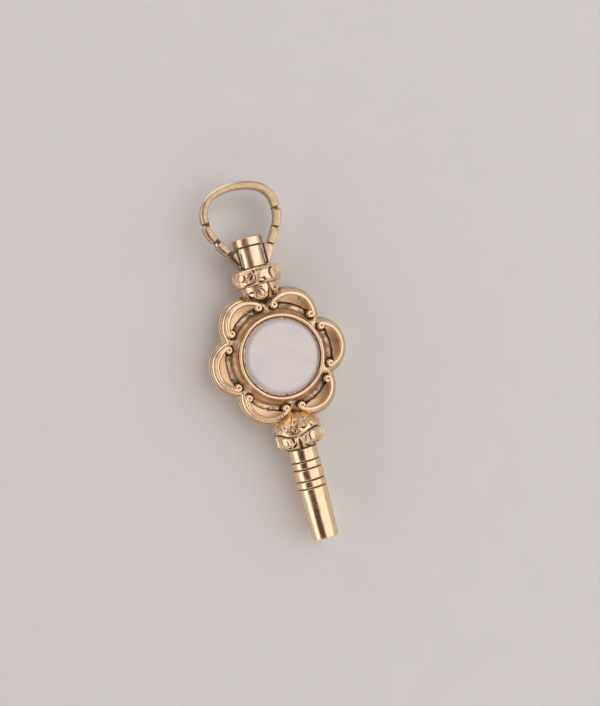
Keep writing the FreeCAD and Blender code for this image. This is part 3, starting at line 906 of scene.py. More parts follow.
SIDE_LEAF_STROKES = (
    (((-0.4, -8.5), (-0.2, -8.95), (0.1, -9.3)), 0.09, 0.7),
    (((0.45, -8.7), (0.3, -9.1)), 0.08, 0.5),
    (((-0.75, -9.1), (-0.5, -9.5)), 0.1, 0.8),
)
SIDE_LEAF_BOSSES = (
    ((0.0, -9.05), 0.95, 0.75, 0.12),
    ((-0.35, -8.75), 0.24, 0.5, 0.18),
    ((0.3, -9.35), 0.4, 0.22, 0.16),
)
COLLAR_LOBE_STROKES = (
    (((-0.37, 0.75), (-0.6, 0.44), (-0.6, 0.07), (-0.47, -0.3)), 0.11, 0.9),
    (((0.96, 0.66), (1.12, 0.26), (1.18, -0.17)), 0.15, 1.5),
    (((-1.35, -0.6), (-1.1, -0.85), (-0.38, -0.98)), 0.12, 1.1),
    (((1.5, -0.24), (1.18, -0.54), (0.8, -0.78)), 0.13, 1.2),
    (((-0.1, -0.72), (0.15, -0.76), (0.4, -0.7)), 0.12, 1.1),
    (((0.25, 0.3), (0.4, -0.05), (0.3, -0.35)), 0.08, 0.4),
)
COLLAR_LOBE_BOSSES = (
    ((0.0, 0.05), 1.3, 0.85, 0.2),
    ((-0.12, 0.0), 0.5, 0.5, 0.28),
    ((0.62, 0.0), 0.36, 0.55, 0.25),
    ((1.06, -0.86), 0.48, 0.15, 0.16),
    ((-1.0, -0.35), 0.4, 0.3, 0.18),
)


def lower_relief(angle, along, radius, shoulder, depth):
    """Chasing below the head: leaves, a waving valley under them, and five rolled lobes at the foot."""
    relief = np.zeros(along.shape)
    wave = shoulder + 1.95 - 0.3 * np.cos(3 * (angle + math.radians(18)))
    leaves = np.zeros(along.shape)
    for k in range(8):
        across = wrapped(angle, math.radians(-4 + 45 * k)) * radius * 0.95
        if k % 2 == 0:
            leaves += chased(across, along, LOWER_LEAF_STROKES, LOWER_LEAF_BOSSES, depth)
        else:
            leaves += chased(across, along, SIDE_LEAF_STROKES, SIDE_LEAF_BOSSES, depth)
    relief += leaves * ramp(along, wave, wave + 0.25)
    lobes = np.zeros(along.shape)
    for k in range(5):
        across = wrapped(angle, math.radians(26 + 72 * k)) * radius
        flip = -1 if k in (1, 3) else 1
        up = along - (shoulder + 1.1)
        lobes += chased(flip * across, up, COLLAR_LOBE_STROKES, COLLAR_LOBE_BOSSES, depth)
        valley = np.abs(across) - 1.9
        lobes -= (0.12 + 0.22 * ramp(up, 0.4, -0.6)) * np.exp(-(valley / 0.24) ** 2)
    relief += lobes * ramp(along, wave - 0.02, wave - 0.3)
    relief -= 0.14 * np.exp(-((along - wave) / 0.17) ** 2)
    return relief


def chased_piece(name, node, corners, columns, relief_of, material, shaded_dirty_ends, soil_and_shade=1.35):
    """Turned piece whose skin carries chased relief, with dirt and painted shade in the strokes and at its
    two ends.
    """
    low, high = shaded_dirty_ends
    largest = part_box(node)[1].x / MM
    profile = rounded_path(corners, 0.05)
    angle = np.tile(np.linspace(-math.pi, math.pi, columns, endpoint=False), (len(profile), 1))
    radius = in_columns(profile[:, 0], columns)
    along = in_columns(profile[:, 1], columns)
    outside = ramp(radius, 0.3 * radius.max(), 0.7 * radius.max())
    relief = (relief_of(angle, along) + 0.015 * wander(angle * 3, along, 0.3, 17)) * outside
    skin = np.clip(radius + relief, 0.3 * radius, largest)
    turned = np.stack([skin * np.sin(angle), along, skin * np.cos(angle)], axis=-1)
    marks = relief_marks(relief, 4, 0.075)
    # Painted shade and dirt in the strokes and at the two ends, where the piece meets its neighbours.
    ends = np.maximum(ramp(along, low + 0.25, low - 0.05), ramp(along, high - 0.2, high + 0.05))
    marks["recess"] = np.clip(soil_and_shade * marks["recess"] + 0.6 * ends, 0, 1)
    clinging = ramp(wander(angle * 2.5, along, 0.6, 19), -0.2, 0.6)
    marks["verdigris"] = np.clip((ends + 0.5 * marks["recess"]) * clinging, 0, 1)
    marks["satin"] = np.full(relief.shape, 0.5)
    piece = ring_object(name, turned, marks=marks)
    return finish_piece(piece, KEY_BODY, "rose_gold", material, node)


def upper_stem(sizes, material):
    """Leaf cup and chased collar above the head."""
    cup_low, cup_high = ends_of(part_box("upper_leaf_cup"))
    low, high = ends_of(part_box("upper_collar"))
    radius, depth = sizes.upper_collar_radius, sizes.chasing_depth

    def cup_relief(angle, along):
        return upper_leaf_relief(angle, along, LEAF_RADIUS, (low + high) / 2, cup_low - 0.02, depth)

    def collar_relief(angle, along):
        return upper_collar_relief(angle, along, radius, low, high, depth)

    cup_corners = [
        (0.4, cup_low - 0.3, 0), (1.5, cup_low - 0.25, 0.2), (2.1, cup_low + 0.1, 0.4),
        (2.3, cup_low + 0.8, 0.6), (2.36, cup_high, 0.05), (0.4, cup_high, 0),
    ]
    collar_corners = [
        (0.82, low + 0.02, 0), (2.5, low + 0.01, 0.1), (2.88, low + 0.04, 0.2),
        (radius - 0.03, low + 0.5, 0.35), (radius, high - 0.65, 0.5), (2.87, high - 0.1, 0.28),
        (2.4, high - 0.01, 0.12), (0.82, high - 0.01, 0),
    ]
    chased_piece("upper_leaf_cup_chased", "upper_leaf_cup", cup_corners, CUP_COLUMNS, cup_relief,
                 material, (cup_low - 0.1, cup_high), soil_and_shade=0.9)
    chased_piece("upper_collar_chased", "upper_collar", collar_corners, COLLAR_COLUMNS, collar_relief,
                 material, (low - 0.05, high), soil_and_shade=0.7)


def lower_stem(sizes, material):
    """Leaf cup and chased collar below the head, cut as one run of ornament."""
    cup_high = ends_of(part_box("lower_leaf_cup"))[1]
    low, high = ends_of(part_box("lower_collar"))
    radius, depth = sizes.lower_collar_radius, sizes.chasing_depth
    joint = radius - 0.08

    def relief_of(angle, along):
        return lower_relief(angle, along, radius, low, depth)

    cup_corners = [
        (0.4, high, 0), (joint, high, 0), (joint - 0.08, high + 0.6, 0.8), (2.72, high + 1.2, 0.8),
        (2.35, high + 1.9, 0.6), (1.75, cup_high - 0.1, 0.4), (0.9, cup_high + 0.15, 0.2),
        (0.4, cup_high + 0.15, 0),
    ]
    collar_corners = [
        (0.5, high, 0), (joint, high, 0), (radius - 0.12, high - 0.3, 0.3), (radius - 0.12, high - 0.8, 0.6),
        (2.85, high - 1.35, 0.5), (2.45, low + 0.15, 0.25), (2.0, low, 0.08), (0.5, low, 0),
    ]
    chased_piece("lower_leaf_cup_chased", "lower_leaf_cup", cup_corners, COLLAR_COLUMNS, relief_of,
                 material, (high - 1.0, cup_high + 0.3))
    chased_piece("lower_collar_chased", "lower_collar", collar_corners, COLLAR_COLUMNS, relief_of,
                 material, (low, high + 1.0))


# Pipe and steel

# Distances of the two pairs of engraved rings from the collar, and swelling of the bands between them
RING_DISTANCES = (1.8, 2.8, 4.3, 5.3)
BAND_SWELLING = (0.04, 0.065, 0.04)
PIPE_COLUMNS = 256
SOCKET_COLUMNS = 160
SOCKET_DEPTH = 7.0
# The square hole's corners are rounded off at this share of its half width
SOCKET_CORNER = 1.36
# Radius of the pipe's end that is hidden in the collar
PIPE_ROOT_RADIUS = 1.68


def pipe(sizes, material):
    """Tapered pipe with two pairs of engraved rings and slightly swollen bands between them."""
    low, high = ends_of(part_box("pipe"))
    shoulder = length_of_key(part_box("lower_collar")[0].y)
    along = np.concatenate([
        np.linspace(shoulder + 0.05, shoulder - 1.4, 18),
        np.arange(shoulder - 1.45, shoulder - 5.75, -0.028),
        np.linspace(shoulder - 5.85, low + 0.2, 60),
    ])
    taper = np.clip((shoulder - sizes.pipe_parallel - along) / (shoulder - sizes.pipe_parallel - low), 0, 1)
    radius = sizes.pipe_radius - 0.02 + (sizes.pipe_end_radius - sizes.pipe_radius + 0.02) * taper
    rings = [shoulder - distance for distance in RING_DISTANCES]
    for first, second, swell in zip(rings, rings[1:], BAND_SWELLING):
        t = np.clip((along - second) / (first - second), 0, 1)
        radius = radius + swell * np.sin(math.pi * t) ** 0.8
    groove = sum(np.exp(-((along - y) / (0.55 * sizes.ring_width)) ** 2) for y in rings)
    radius = radius - sizes.ring_depth * groove
    skin = np.stack([radius, along], axis=-1)
    end = rounded_path([
        (sizes.pipe_end_radius, low + 0.18, 0),
        (sizes.pipe_end_radius, low, 0.13),
        (sizes.pipe_bore, low, 0.06),
        (sizes.pipe_bore, low + 0.6, 0),
    ], 0.06)
    inside = np.array([(sizes.pipe_bore, y) for y in np.linspace(low + 1.5, high, 10)]
                      + [(PIPE_ROOT_RADIUS, high), (PIPE_ROOT_RADIUS, shoulder + 0.12)])
    profile = np.vstack([skin, end, inside])
    points = spun_about_key(profile, PIPE_COLUMNS)
    angle = round_angles(PIPE_COLUMNS)
    dents = 0.006 * wander(angle * 2, in_columns(profile[:, 1], PIPE_COLUMNS), 1.1, 13)
    points[..., 0] += dents * np.sin(angle)
    points[..., 2] += dents * np.cos(angle)
    # Painted shade and dirt in the engraved rings and where the pipe meets the collar.
    near_collar = np.exp(-((along - shoulder) / 0.22) ** 2)
    dirt = np.clip(np.clip(0.9 * groove, 0, 1) + near_collar, 0, 1)
    dirt = np.concatenate([dirt, np.zeros(len(end)), np.ones(len(inside))])
    piece = ring_object("pipe_turned", points, looped=True, marks={"recess": in_columns(dirt, PIPE_COLUMNS)})
    return finish_piece(piece, KEY_BODY, "pipe_gold", material, "pipe")


def steel_socket(sizes, material):
    """Steel in the pipe: a rod whose square hole has a worn, bevelled mouth."""
    low, high = ends_of(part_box("steel_socket"))
    angle = round_angles(SOCKET_COLUMNS)
    half = sizes.square / 2
    square = half / np.maximum(np.abs(np.cos(angle)), np.abs(np.sin(angle)))
    square = np.minimum(square, half * SOCKET_CORNER)
    round_one = np.ones(SOCKET_COLUMNS)
    rows = [
        (0.2 * round_one, high), (1.25 * round_one, high), (1.3 * round_one, high - 0.06),
        (1.3 * round_one, low + 0.06), (1.24 * round_one, low),
        (square + 0.14, low), (square + 0.05, low + 0.05), (square, low + 0.16),
        (square, low + SOCKET_DEPTH), (0.3 * square, low + SOCKET_DEPTH + 0.3),
    ]
    points = np.array([np.stack([r * np.sin(angle), y * round_one, r * np.cos(angle)], axis=-1)
                       for r, y in rows])
    piece = ring_object("steel_socket_worn", points)
    return finish_piece(piece, KEY_BODY, "steel", material, "steel_socket")


# Bow and swivel

BOW_STEP = 0.05
# How far a nick reaches from its cut towards the crown and towards the foot
NICK_REACH = 0.13
FACET_REACH = 0.5
# Half the distance between the lugs' hidden ends, and the longest way from a leg to the sleeve
LUG_END = 1.2
LUG_REACH = 2.4
# How far the stretches between nicks swell
SEGMENT_SWELLING = 0.09
SWIVEL_COLUMNS = 200
SOLDER_COLUMNS = 14


def bow_outer_line(sizes):
    """Points, outward directions and run of the bow's outer side, and the runs at which it is nicked."""
    sleeve_low = length_of_key(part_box("bow_sleeve")[0].y)
    foot = (sizes.sleeve_radius + 0.12, sleeve_low + 0.07)
    lean = sizes.leg_angle
    half = sizes.width / 2
    reach = half - sizes.hip_radius * (1 - math.cos(lean)) - foot[0]
    straight = reach / math.sin(lean)
    hip = (half - sizes.hip_radius, foot[1] + straight * math.cos(lean) + sizes.hip_radius * math.sin(lean))
    shoulder = (half - sizes.shoulder_radius, hip[1] + sizes.side_straight)
    turn_at = math.acos(shoulder[0] / (sizes.crown_radius - sizes.shoulder_radius))
    crown = (0.0, shoulder[1] - (sizes.crown_radius - sizes.shoulder_radius) * math.sin(turn_at))
    points, normals = [], []

    def add_run(start, end, normal):
        count = int(math.dist(start, end) / BOW_STEP) + 1
        for t in np.linspace(0, 1, count, endpoint=False):
            points.append((start[0] + (end[0] - start[0]) * t, start[1] + (end[1] - start[1]) * t))
            normals.append(normal)

    def add_arc(centre, radius, first, last):
        count = int(abs(last - first) * radius / BOW_STEP) + 1
        for a in np.linspace(first, last, count, endpoint=False):
            points.append((centre[0] + radius * math.cos(a), centre[1] + radius * math.sin(a)))
            normals.append((math.cos(a), math.sin(a)))

    leg_end = (foot[0] + straight * math.sin(lean), foot[1] + straight * math.cos(lean))
    add_run(foot, leg_end, (math.cos(lean), -math.sin(lean)))
    add_arc(hip, sizes.hip_radius, -lean, 0.0)
    add_run((half, hip[1]), (half, shoulder[1]), (1.0, 0.0))
    add_arc(shoulder, sizes.shoulder_radius, 0.0, turn_at)
    add_arc(crown, sizes.crown_radius, turn_at, math.pi / 2)
    points.append((0.0, crown[1] + sizes.crown_radius))
    normals.append((0.0, 1.0))
    left = [(-x, y) for x, y in points[-2::-1]]
    left_normals = [(-x, y) for x, y in normals[-2::-1]]
    line = np.array(points + left)
    outward = np.array(normals + left_normals)
    run = np.concatenate([[0], np.cumsum(np.linalg.norm(np.diff(line, axis=0), axis=1))])
    lug = sizes.lug_length
    stations = [lug, straight, straight + sizes.hip_radius * lean]
    return line, outward, run, stations


def ribbon_section():
    """Rounded outline of the ribbon: share of its thickness inwards, and share of its half depth."""
    corner_out, corner_in = 0.28, 0.12
    depth_out, depth_in = 0.14, 0.07
    outline = rounded_path([
        (corner_out, 1.0, 0), (1 - corner_in, 1.0, 0.04), (1.0, 1 - depth_in, 0.04),
        (1.0, depth_in - 1, 0.04), (1 - corner_in, -1.0, 0.04), (corner_out, -1.0, 0.05),
        (0.0, depth_out - 1, 0.05), (0.0, 1 - depth_out, 0.05), (corner_out, 1.0, 0),
    ], 0.12)
    return outline[:-1]


def nick_shares(from_foot, stations):
    """How deep each place along the ribbon is nicked, and how much painted shade and dirt darken it there,
    both from 0 to 1.
    """
    nick, nick_shade_and_dirt = np.zeros(len(from_foot)), np.zeros(len(from_foot))
    for station in stations:
        beyond = from_foot - station
        reach = np.where(beyond > 0, NICK_REACH, FACET_REACH)
        facet = np.clip(1 - np.abs(beyond) / reach, 0, 1)
        notch = np.clip(1 - np.abs(beyond) / NICK_REACH, 0, 1)
        nick = np.maximum(nick, 0.75 * facet + 0.25 * notch)
        dark = np.clip(1.25 - np.abs(beyond) / 0.12, 0, 0.95)
        nick_shade_and_dirt = np.maximum(nick_shade_and_dirt, np.maximum(0.3 * facet, dark))
    return nick, nick_shade_and_dirt


def lug_thickness(line, inward, is_lower_leg, lug_top, thickness):
    """Thickness of the ribbon at each place: near the feet it grows into lugs that end inside the sleeve."""
    result = np.full(len(line), thickness)
    for i, ((x, y), (nx, ny)) in enumerate(zip(line, inward)):
        inner_y = y + ny * thickness
        if is_lower_leg[i] and inner_y < lug_top + 0.5:
            to_sleeve = (abs(x) - LUG_END) / abs(nx)
            blend = 1 - ramp(inner_y, lug_top - 0.05, lug_top + 0.12)
            result[i] += (min(to_sleeve, LUG_REACH) - result[i]) * blend
    return result


def bow_ribbon(sizes, material):
    """Horseshoe ribbon with bevelled outer edges, three nicks on each leg, and lugs that meet the sleeve."""
    line, outward, run, stations = bow_outer_line(sizes)
    inward = -outward
    from_foot = np.minimum(run, run[-1] - run)
    nick, nick_shade_and_dirt = nick_shares(from_foot, stations)
    section = ribbon_section()
    inner_share, depth_share = section[:, 0], section[:, 1]
    lug_top = length_of_key(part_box("bow_sleeve")[1].y) - 0.2
    thickness = lug_thickness(line, inward, from_foot < stations[1], lug_top, sizes.thickness)
    segment = sum(SEGMENT_SWELLING * np.sin(math.pi * np.clip((from_foot - first) / (last - first), 0, 1))
                  for first, last in zip(stations, stations[1:]))
    bevel = np.exp(-((inner_share - 0.12) / 0.15) ** 2) + 0.7 * np.exp(-((inner_share - 0.97) / 0.07) ** 2)
    bevel = np.clip(bevel, 0, 1) * (np.abs(depth_share) > 0.8)
    rings, recess, proud = [], [], []
    for i in range(len(run)):
        cut = sizes.nick_depth * nick[i] * (1 - inner_share)
        place = inner_share * thickness[i] + cut - segment[i] * (1 - inner_share)
        half_depth = sizes.depth / 2 - sizes.face_nick_depth * nick[i]
        wobble = 0.012 * wander(run[i], depth_share, 1.3, 6) - 0.012
        xy = line[i] + inward[i] * place[:, None] + outward[i] * wobble[:, None]
        rings.append(np.stack([xy[:, 0], xy[:, 1], depth_share * half_depth], axis=-1))
        # Painted shade and dirt in the nicks and where the lugs meet the sleeve.
        on_sleeve = np.exp(-((np.abs(xy[:, 0]) - sizes.sleeve_radius) / 0.16) ** 2) * (from_foot[i] < 3.2)
        recess.append(np.clip(0.9 * nick_shade_and_dirt[i] + on_sleeve * (xy[:, 1] < lug_top + 0.3), 0, 1))
        proud.append(bevel * (1 - nick[i]))
    marks = {"recess": np.array(recess), "proud": np.array(proud)}
    piece = ring_object("bow_ribbon", np.array(rings), marks=marks)
    return finish_piece(piece, BOW_BODY, "bow_gold", material, "bow")


def swivel_sleeve(sizes, material):
    """Sleeve that turns on the pin, its ends a little worn."""
    low, high = ends_of(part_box("bow_sleeve"))
    outer, bore = sizes.sleeve_radius, sizes.sleeve_bore
    profile = rounded_path([
        (bore, low, 0), (outer, low, 0.07), (outer - 0.015, (low + high) / 2, 0.5), (outer, high, 0.07),
        (bore, high, 0.03), (bore, low, 0),
    ], 0.08)[:-1]
    points = spun_about_key(profile, SWIVEL_COLUMNS)
    along = in_columns(profile[:, 1], SWIVEL_COLUMNS)
    # Painted shade and dirt at the sleeve's ends and beside the lugs.
    ends = np.maximum(1 - ramp(along, low, low + 0.18), ramp(along, high - 0.14, high))
    lug_side = np.exp(-((np.abs(np.sin(round_angles(SWIVEL_COLUMNS))) - 1) / 0.22) ** 2)
    recess = np.clip(0.7 * ends + 0.8 * lug_side * ramp(along, high - 1.2, high - 0.1), 0, 1)
    piece = ring_object("bow_sleeve_worn", points, looped=True, marks={"recess": recess})
    return finish_piece(piece, BOW_BODY, "swivel_gold", material, "bow_sleeve")


def cap(sizes, material):
    """Round cap on the pin's end, a little domed, with a softened edge."""
    low, high = ends_of(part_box("pin_cap"))
    radius = sizes.cap_radius
    profile = rounded_path([
        (0.2, low, 0), (radius - 0.05, low, 0.04), (radius, low + 0.1, 0.06), (radius, high - 0.2, 0.12),
        (radius - 0.22, high - 0.03, 0.14), (0.9, high, 0.8), (0.2, high, 0),
    ], 0.08)
    points = spun_about_key(profile, SWIVEL_COLUMNS)
    along = in_columns(profile[:, 1], SWIVEL_COLUMNS)
    # Painted shade and dirt at the cap's foot, where it meets the sleeve; the proud mark wears the film from
    # its top.
    marks = {"recess": 1 - ramp(along, low, low + 0.2), "proud": ramp(along, high - 0.25, high - 0.1)}
    piece = ring_object("pin_cap_domed", points, marks=marks)
    return finish_piece(piece, KEY_BODY, "swivel_gold", material, "pin_cap")


def bead_along(name, points, radii, flat):
    """Uneven bead of solder along points; flat squeezes it across the last axis."""
    angle = round_angles(SOLDER_COLUMNS)
    away, upright = np.array([0.0, 0.0, 1.0]), np.array([0.0, 1.0, 0.0])
    rings = []
    for i, (point, radius) in enumerate(zip(points, radii)):
        lump = radius * (1 + 0.18 * np.sin(3 * angle + 1.7 * i) + 0.1 * np.sin(5 * angle - i))
        before, after = points[max(i - 1, 0)], points[min(i + 1, len(points) - 1)]
        ahead = (after - before) / np.linalg.norm(after - before)
        side = np.cross(ahead, away if abs(ahead[2]) < 0.9 else upright)
        side /= np.linalg.norm(side)
        up = np.cross(side, ahead)
        around = np.cos(angle)[:, None] * side + flat * np.sin(angle)[:, None] * up
        rings.append(point + lump[:, None] * around)
    return ring_object(name, np.array(rings))


def lug_solder(sizes, material):
    """Solder that has run along the seams between the lugs and the sleeve."""
    low, high = ends_of(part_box("bow_sleeve"))
    face = sizes.depth / 2 - 0.03
    seam_x = math.sqrt(sizes.sleeve_radius ** 2 - face ** 2)
    for side, side_name in ((1, "right"), (-1, "left")):
        for front, front_name in ((1, "front"), (-1, "back")):
            t = np.linspace(0, 1, 26)
            y = low + 0.2 + (high - 0.45 - low) * t
            x = side * (seam_x + 0.03 + 0.03 * np.sin(5 * t + side + front))
            z = np.full(len(t), front * (face - 0.02))
            swell = np.sin(math.pi * np.clip(t, 0.02, 0.98)) ** 0.5
            radii = 0.02 + 0.13 * swell * (1 + 0.2 * np.sin(11 * t + front))
            points = np.stack([x, y, z], axis=-1)
            piece = bead_along("lug_solder_" + side_name + "_" + front_name, points, radii, 0.7)
            finish_piece(piece, BOW_BODY, "swivel_gold", material)
        t = np.linspace(0, 1, 22)
        z = (2 * t - 1) * (face - 0.1)
        x = side * np.sqrt(np.clip((sizes.sleeve_radius + 0.02) ** 2 - z ** 2, 0.2, None)) + side * 0.04
        y = high - 0.2 + 0.02 * np.sin(7 * t)
        radii = 0.1 + 0.03 * np.sin(9 * t + side)
        piece = bead_along("lug_solder_" + side_name + "_top", np.stack([x, y, z], axis=-1), radii, 1.0)
        finish_piece(piece, BOW_BODY, "swivel_gold", material)


# Finishes

class Finish:
    """Builds a node material step by step; noise sizes are given in millimetres."""

    def __init__(self, name):
        self.material = bpy.data.materials.new(name)
        self.material.use_nodes = True
        self.tree = self.material.node_tree
        self.shader = self.tree.nodes["Principled BSDF"]
        self.place = self.tree.nodes.new("ShaderNodeTexCoord").outputs["Object"]

    def node(self, kind, **settings):
        made = self.tree.nodes.new(kind)
        for key, value in settings.items():
            setattr(made, key, value)
        return made

    def join(self, source, socket):
        self.tree.links.new(source, socket)

    def stretched(self, scale):
        mapping = self.node("ShaderNodeMapping")
        mapping.inputs["Scale"].default_value = scale
        self.join(self.place, mapping.inputs["Vector"])
        return mapping.outputs["Vector"]

    def noise(self, feature, detail=4.0, roughness=0.55, distortion=0.0, stretch=(1, 1, 1)):
        made = self.node("ShaderNodeTexNoise")
        self.join(self.stretched(stretch), made.inputs["Vector"])
        made.inputs["Scale"].default_value = 1 / (feature * MM)
        made.inputs["Detail"].default_value = detail
        made.inputs["Roughness"].default_value = roughness
        made.inputs["Distortion"].default_value = distortion
        return made.outputs["Fac"]

    def cells(self, feature, stretch=(1, 1, 1)):
        made = self.node("ShaderNodeTexVoronoi")
        self.join(self.stretched(stretch), made.inputs["Vector"])
        made.inputs["Scale"].default_value = 1 / (feature * MM)
        return made.outputs["Distance"]

    def mark(self, name):
        return self.node("ShaderNodeAttribute", attribute_name=name).outputs["Fac"]

    def maths(self, operation, a, b, clamp=False):
        made = self.node("ShaderNodeMath", operation=operation, use_clamp=clamp)
        for socket, value in zip(made.inputs, (a, b)):
            if isinstance(value, (int, float)):
                socket.default_value = value
            else:
                self.join(value, socket)
        return made.outputs[0]

    def between(self, value, low, high, start=0.0, end=1.0):
        made = self.node("ShaderNodeMapRange", interpolation_type="SMOOTHSTEP")
        self.join(value, made.inputs["Value"])
        made.inputs["From Min"].default_value = low
        made.inputs["From Max"].default_value = high
        made.inputs["To Min"].default_value = start
        made.inputs["To Max"].default_value = end
        return made.outputs["Result"]

    def blend(self, factor, a, b):
        made = self.node("ShaderNodeMix", data_type="RGBA")
        self.join(factor, made.inputs["Factor"])
        for socket, value in ((made.inputs[6], a), (made.inputs[7], b)):
            if isinstance(value, bpy.types.NodeSocket):
                self.join(value, socket)
            else:
                socket.default_value = (*value, 1.0)
        return made.outputs[2]

    def bump(self, height, depth, strength=1.0, under=None):
        made = self.node("ShaderNodeBump")
        made.inputs["Strength"].default_value = strength
        made.inputs["Distance"].default_value = depth * MM
        self.join(height, made.inputs["Height"])
        if under is not None:
            self.join(under, made.inputs["Normal"])
        return made.outputs["Normal"]

    def set(self, **values):
        for key, value in values.items():
            socket = self.shader.inputs[key.replace("_", " ")]
            if isinstance(value, bpy.types.NodeSocket):
                self.join(value, socket)
            else:
                socket.default_value = value


FILM_SPREAD = (1.6, 0.40, 0.74)
EVEN = (1, 1, 1)


def gold_finish(name, colours, base, polish, dirt, tint="rosy_gold",
                film_share=0.6, film_spread=FILM_SPREAD, scratches=EVEN):
    """Old rose gold: a film of tarnish, fine scratches, painted shade, and dirt and green salts in the
    recesses.

    film_spread is the film's patch size and where it starts and is full; scratches stretches the fine grain.
    """
    finish = Finish(name)
    film_size, film_from, film_full = film_spread
    film = finish.between(finish.noise(film_size, detail=5), film_from, film_full)
    recess, satin, ground = finish.mark("recess"), finish.mark("satin"), finish.mark("ground")
    speck = finish.noise(0.16, detail=5, roughness=0.65)
    spread = finish.maths("MULTIPLY", finish.maths("SUBTRACT", speck, 0.5), 0.55)
    # The recess mark, broken up by speckle, sets where painted shade and dirt darken the gold.
    shade_and_dirt = finish.maths("ADD", recess, spread)
    shade = finish.between(shade_and_dirt, 0.1, 0.6)
    packed = finish.between(shade_and_dirt, 0.6 - 0.2 * dirt, 1.0 - 0.2 * dirt, 0.0, 0.6 + 0.35 * dirt)
    worn = finish.maths("SUBTRACT", film_share, finish.maths("MULTIPLY", finish.mark("proud"), 0.7))
    skin = finish.blend(finish.maths("MULTIPLY", film, worn), getattr(colours, base), getattr(colours, tint))
    # Painted shade: the gold is blended towards the brown shade colour where the recess mark is high.
    shaded = finish.blend(finish.maths("MULTIPLY", shade, 0.6), skin, colours.painted_recess_shade)
    drift = finish.maths("MULTIPLY", finish.maths("SUBTRACT", finish.noise(0.7, detail=6), 0.52), 3.2)
    settled = finish.maths("ADD", ground, finish.maths("ADD", spread, drift))
    caked = finish.maths("MULTIPLY", finish.between(settled, 0.55, 1.35, 0.0, 0.8), ground)
    crusted = finish.blend(caked, shaded, colours.ground_dirt)
    soiled = finish.blend(packed, crusted, colours.grime)
    crumbs = finish.between(finish.noise(0.32, detail=6, roughness=0.7), 0.40, 0.60, 0.2, 1.15)
    green = finish.between(finish.maths("MULTIPLY", finish.mark("verdigris"), crumbs), 0.3, 0.85, 0.0, 0.92)
    finish.set(Base_Color=finish.blend(green, soiled, colours.verdigris))
    covered = finish.maths("MAXIMUM", packed, green)
    covered = finish.maths("MAXIMUM", covered, finish.maths("MULTIPLY", caked, 0.8))
    finish.set(Metallic=finish.maths("SUBTRACT", 1.0, covered, clamp=True))
    fine = finish.noise(0.09, detail=3, stretch=scratches)
    rough = finish.between(finish.noise(0.9, detail=4), 0.3, 0.75, polish, polish + 0.12)
    for part, amount in ((shade, 0.16), (satin, 0.17), (fine, 0.05), (covered, 0.35)):
        rough = finish.maths("ADD", rough, finish.maths("MULTIPLY", part, amount))
    finish.set(Roughness=finish.maths("MINIMUM", rough, 0.95))
    soft = finish.bump(finish.noise(0.45, detail=3), 0.012, 0.6)
    grain = finish.bump(fine, 0.0025, 0.5, under=soft)
    dull = finish.maths("MAXIMUM", ground, finish.maths("MULTIPLY", satin, 0.25))
    stipple = finish.maths("MULTIPLY", finish.cells(0.13), dull)
    punched = finish.bump(stipple, 0.035, 0.7, under=grain)
    crust = finish.bump(finish.maths("MULTIPLY", speck, covered), 0.05, 0.8, under=punched)
    finish.set(Normal=crust)
    return finish.material


def chalcedony_finish(colours):
    """Milky stone: light goes a little way in, with faint clouds and a high polish."""
    finish = Finish("milky_chalcedony")
    cloud = finish.between(finish.noise(4.5, detail=3, roughness=0.45, distortion=0.6), 0.36, 0.68)
    veins = finish.noise(1.4, detail=5, distortion=1.2, stretch=(0.5, 1.2, 1))
    vein = finish.between(veins, 0.45, 0.75, 0, 0.35)
    milky = finish.blend(cloud, colours.chalcedony, colours.chalcedony_cloud)
    finish.set(Base_Color=finish.blend(vein, milky, colours.chalcedony_vein))
    finish.set(Roughness=finish.between(finish.noise(0.7, detail=5), 0.35, 0.75, 0.11, 0.24))
    finish.set(Subsurface_Weight=0.45, Subsurface_Radius=(1.0, 0.85, 0.75), Subsurface_Scale=0.9 * MM)
    finish.set(IOR=1.53)
    finish.set(Normal=finish.bump(finish.noise(0.9, detail=3), 0.004, 0.4))
    return finish.material


def bloodstone_finish(colours):
    """Dark green stone with small red flecks and cloudy patches."""
    finish = Finish("dark_bloodstone")
    cloud = finish.between(finish.noise(1.8, detail=6, distortion=0.8), 0.38, 0.7)
    base = finish.blend(cloud, colours.bloodstone, colours.bloodstone_cloud)
    fleck = finish.between(finish.cells(1.1), 0.22, 0.08, 0.0, 1.0)
    patch = finish.between(finish.noise(1.2, detail=4), 0.5, 0.6)
    flecks = finish.maths("MULTIPLY", fleck, patch)
    finish.set(Base_Color=finish.blend(flecks, base, colours.blood_fleck))
    finish.set(Roughness=finish.between(finish.noise(0.8, detail=4), 0.3, 0.75, 0.1, 0.22))
    finish.set(IOR=1.54, Normal=finish.bump(finish.noise(0.8, detail=3), 0.004, 0.4))
    return finish.material


def earth_finish(name, dark, light, feature, depth):
    """Dull, crumbly cement or filling."""
    finish = Finish(name)
    grains = finish.noise(feature, detail=8, roughness=0.7)
    finish.set(Base_Color=finish.blend(finish.between(grains, 0.35, 0.7), dark, light))
    finish.set(Roughness=finish.between(grains, 0.3, 0.7, 0.65, 0.95))
    finish.set(Normal=finish.bump(grains, depth, 0.9))
    return finish.material


def solder_finish(colours):
    """Grey-green solder, lumpy and oxidised."""
    finish = Finish("old_solder")
    lumps = finish.noise(0.22, detail=6)
    dull = finish.between(lumps, 0.4, 0.65)
    finish.set(Base_Color=finish.blend(dull, colours.solder, colours.solder_bloom))
    finish.set(Metallic=finish.between(lumps, 0.45, 0.65, 0.9, 0.25))
    finish.set(Roughness=finish.between(lumps, 0.3, 0.7, 0.4, 0.8))
    finish.set(Normal=finish.bump(lumps, 0.03, 0.8))
    return finish.material


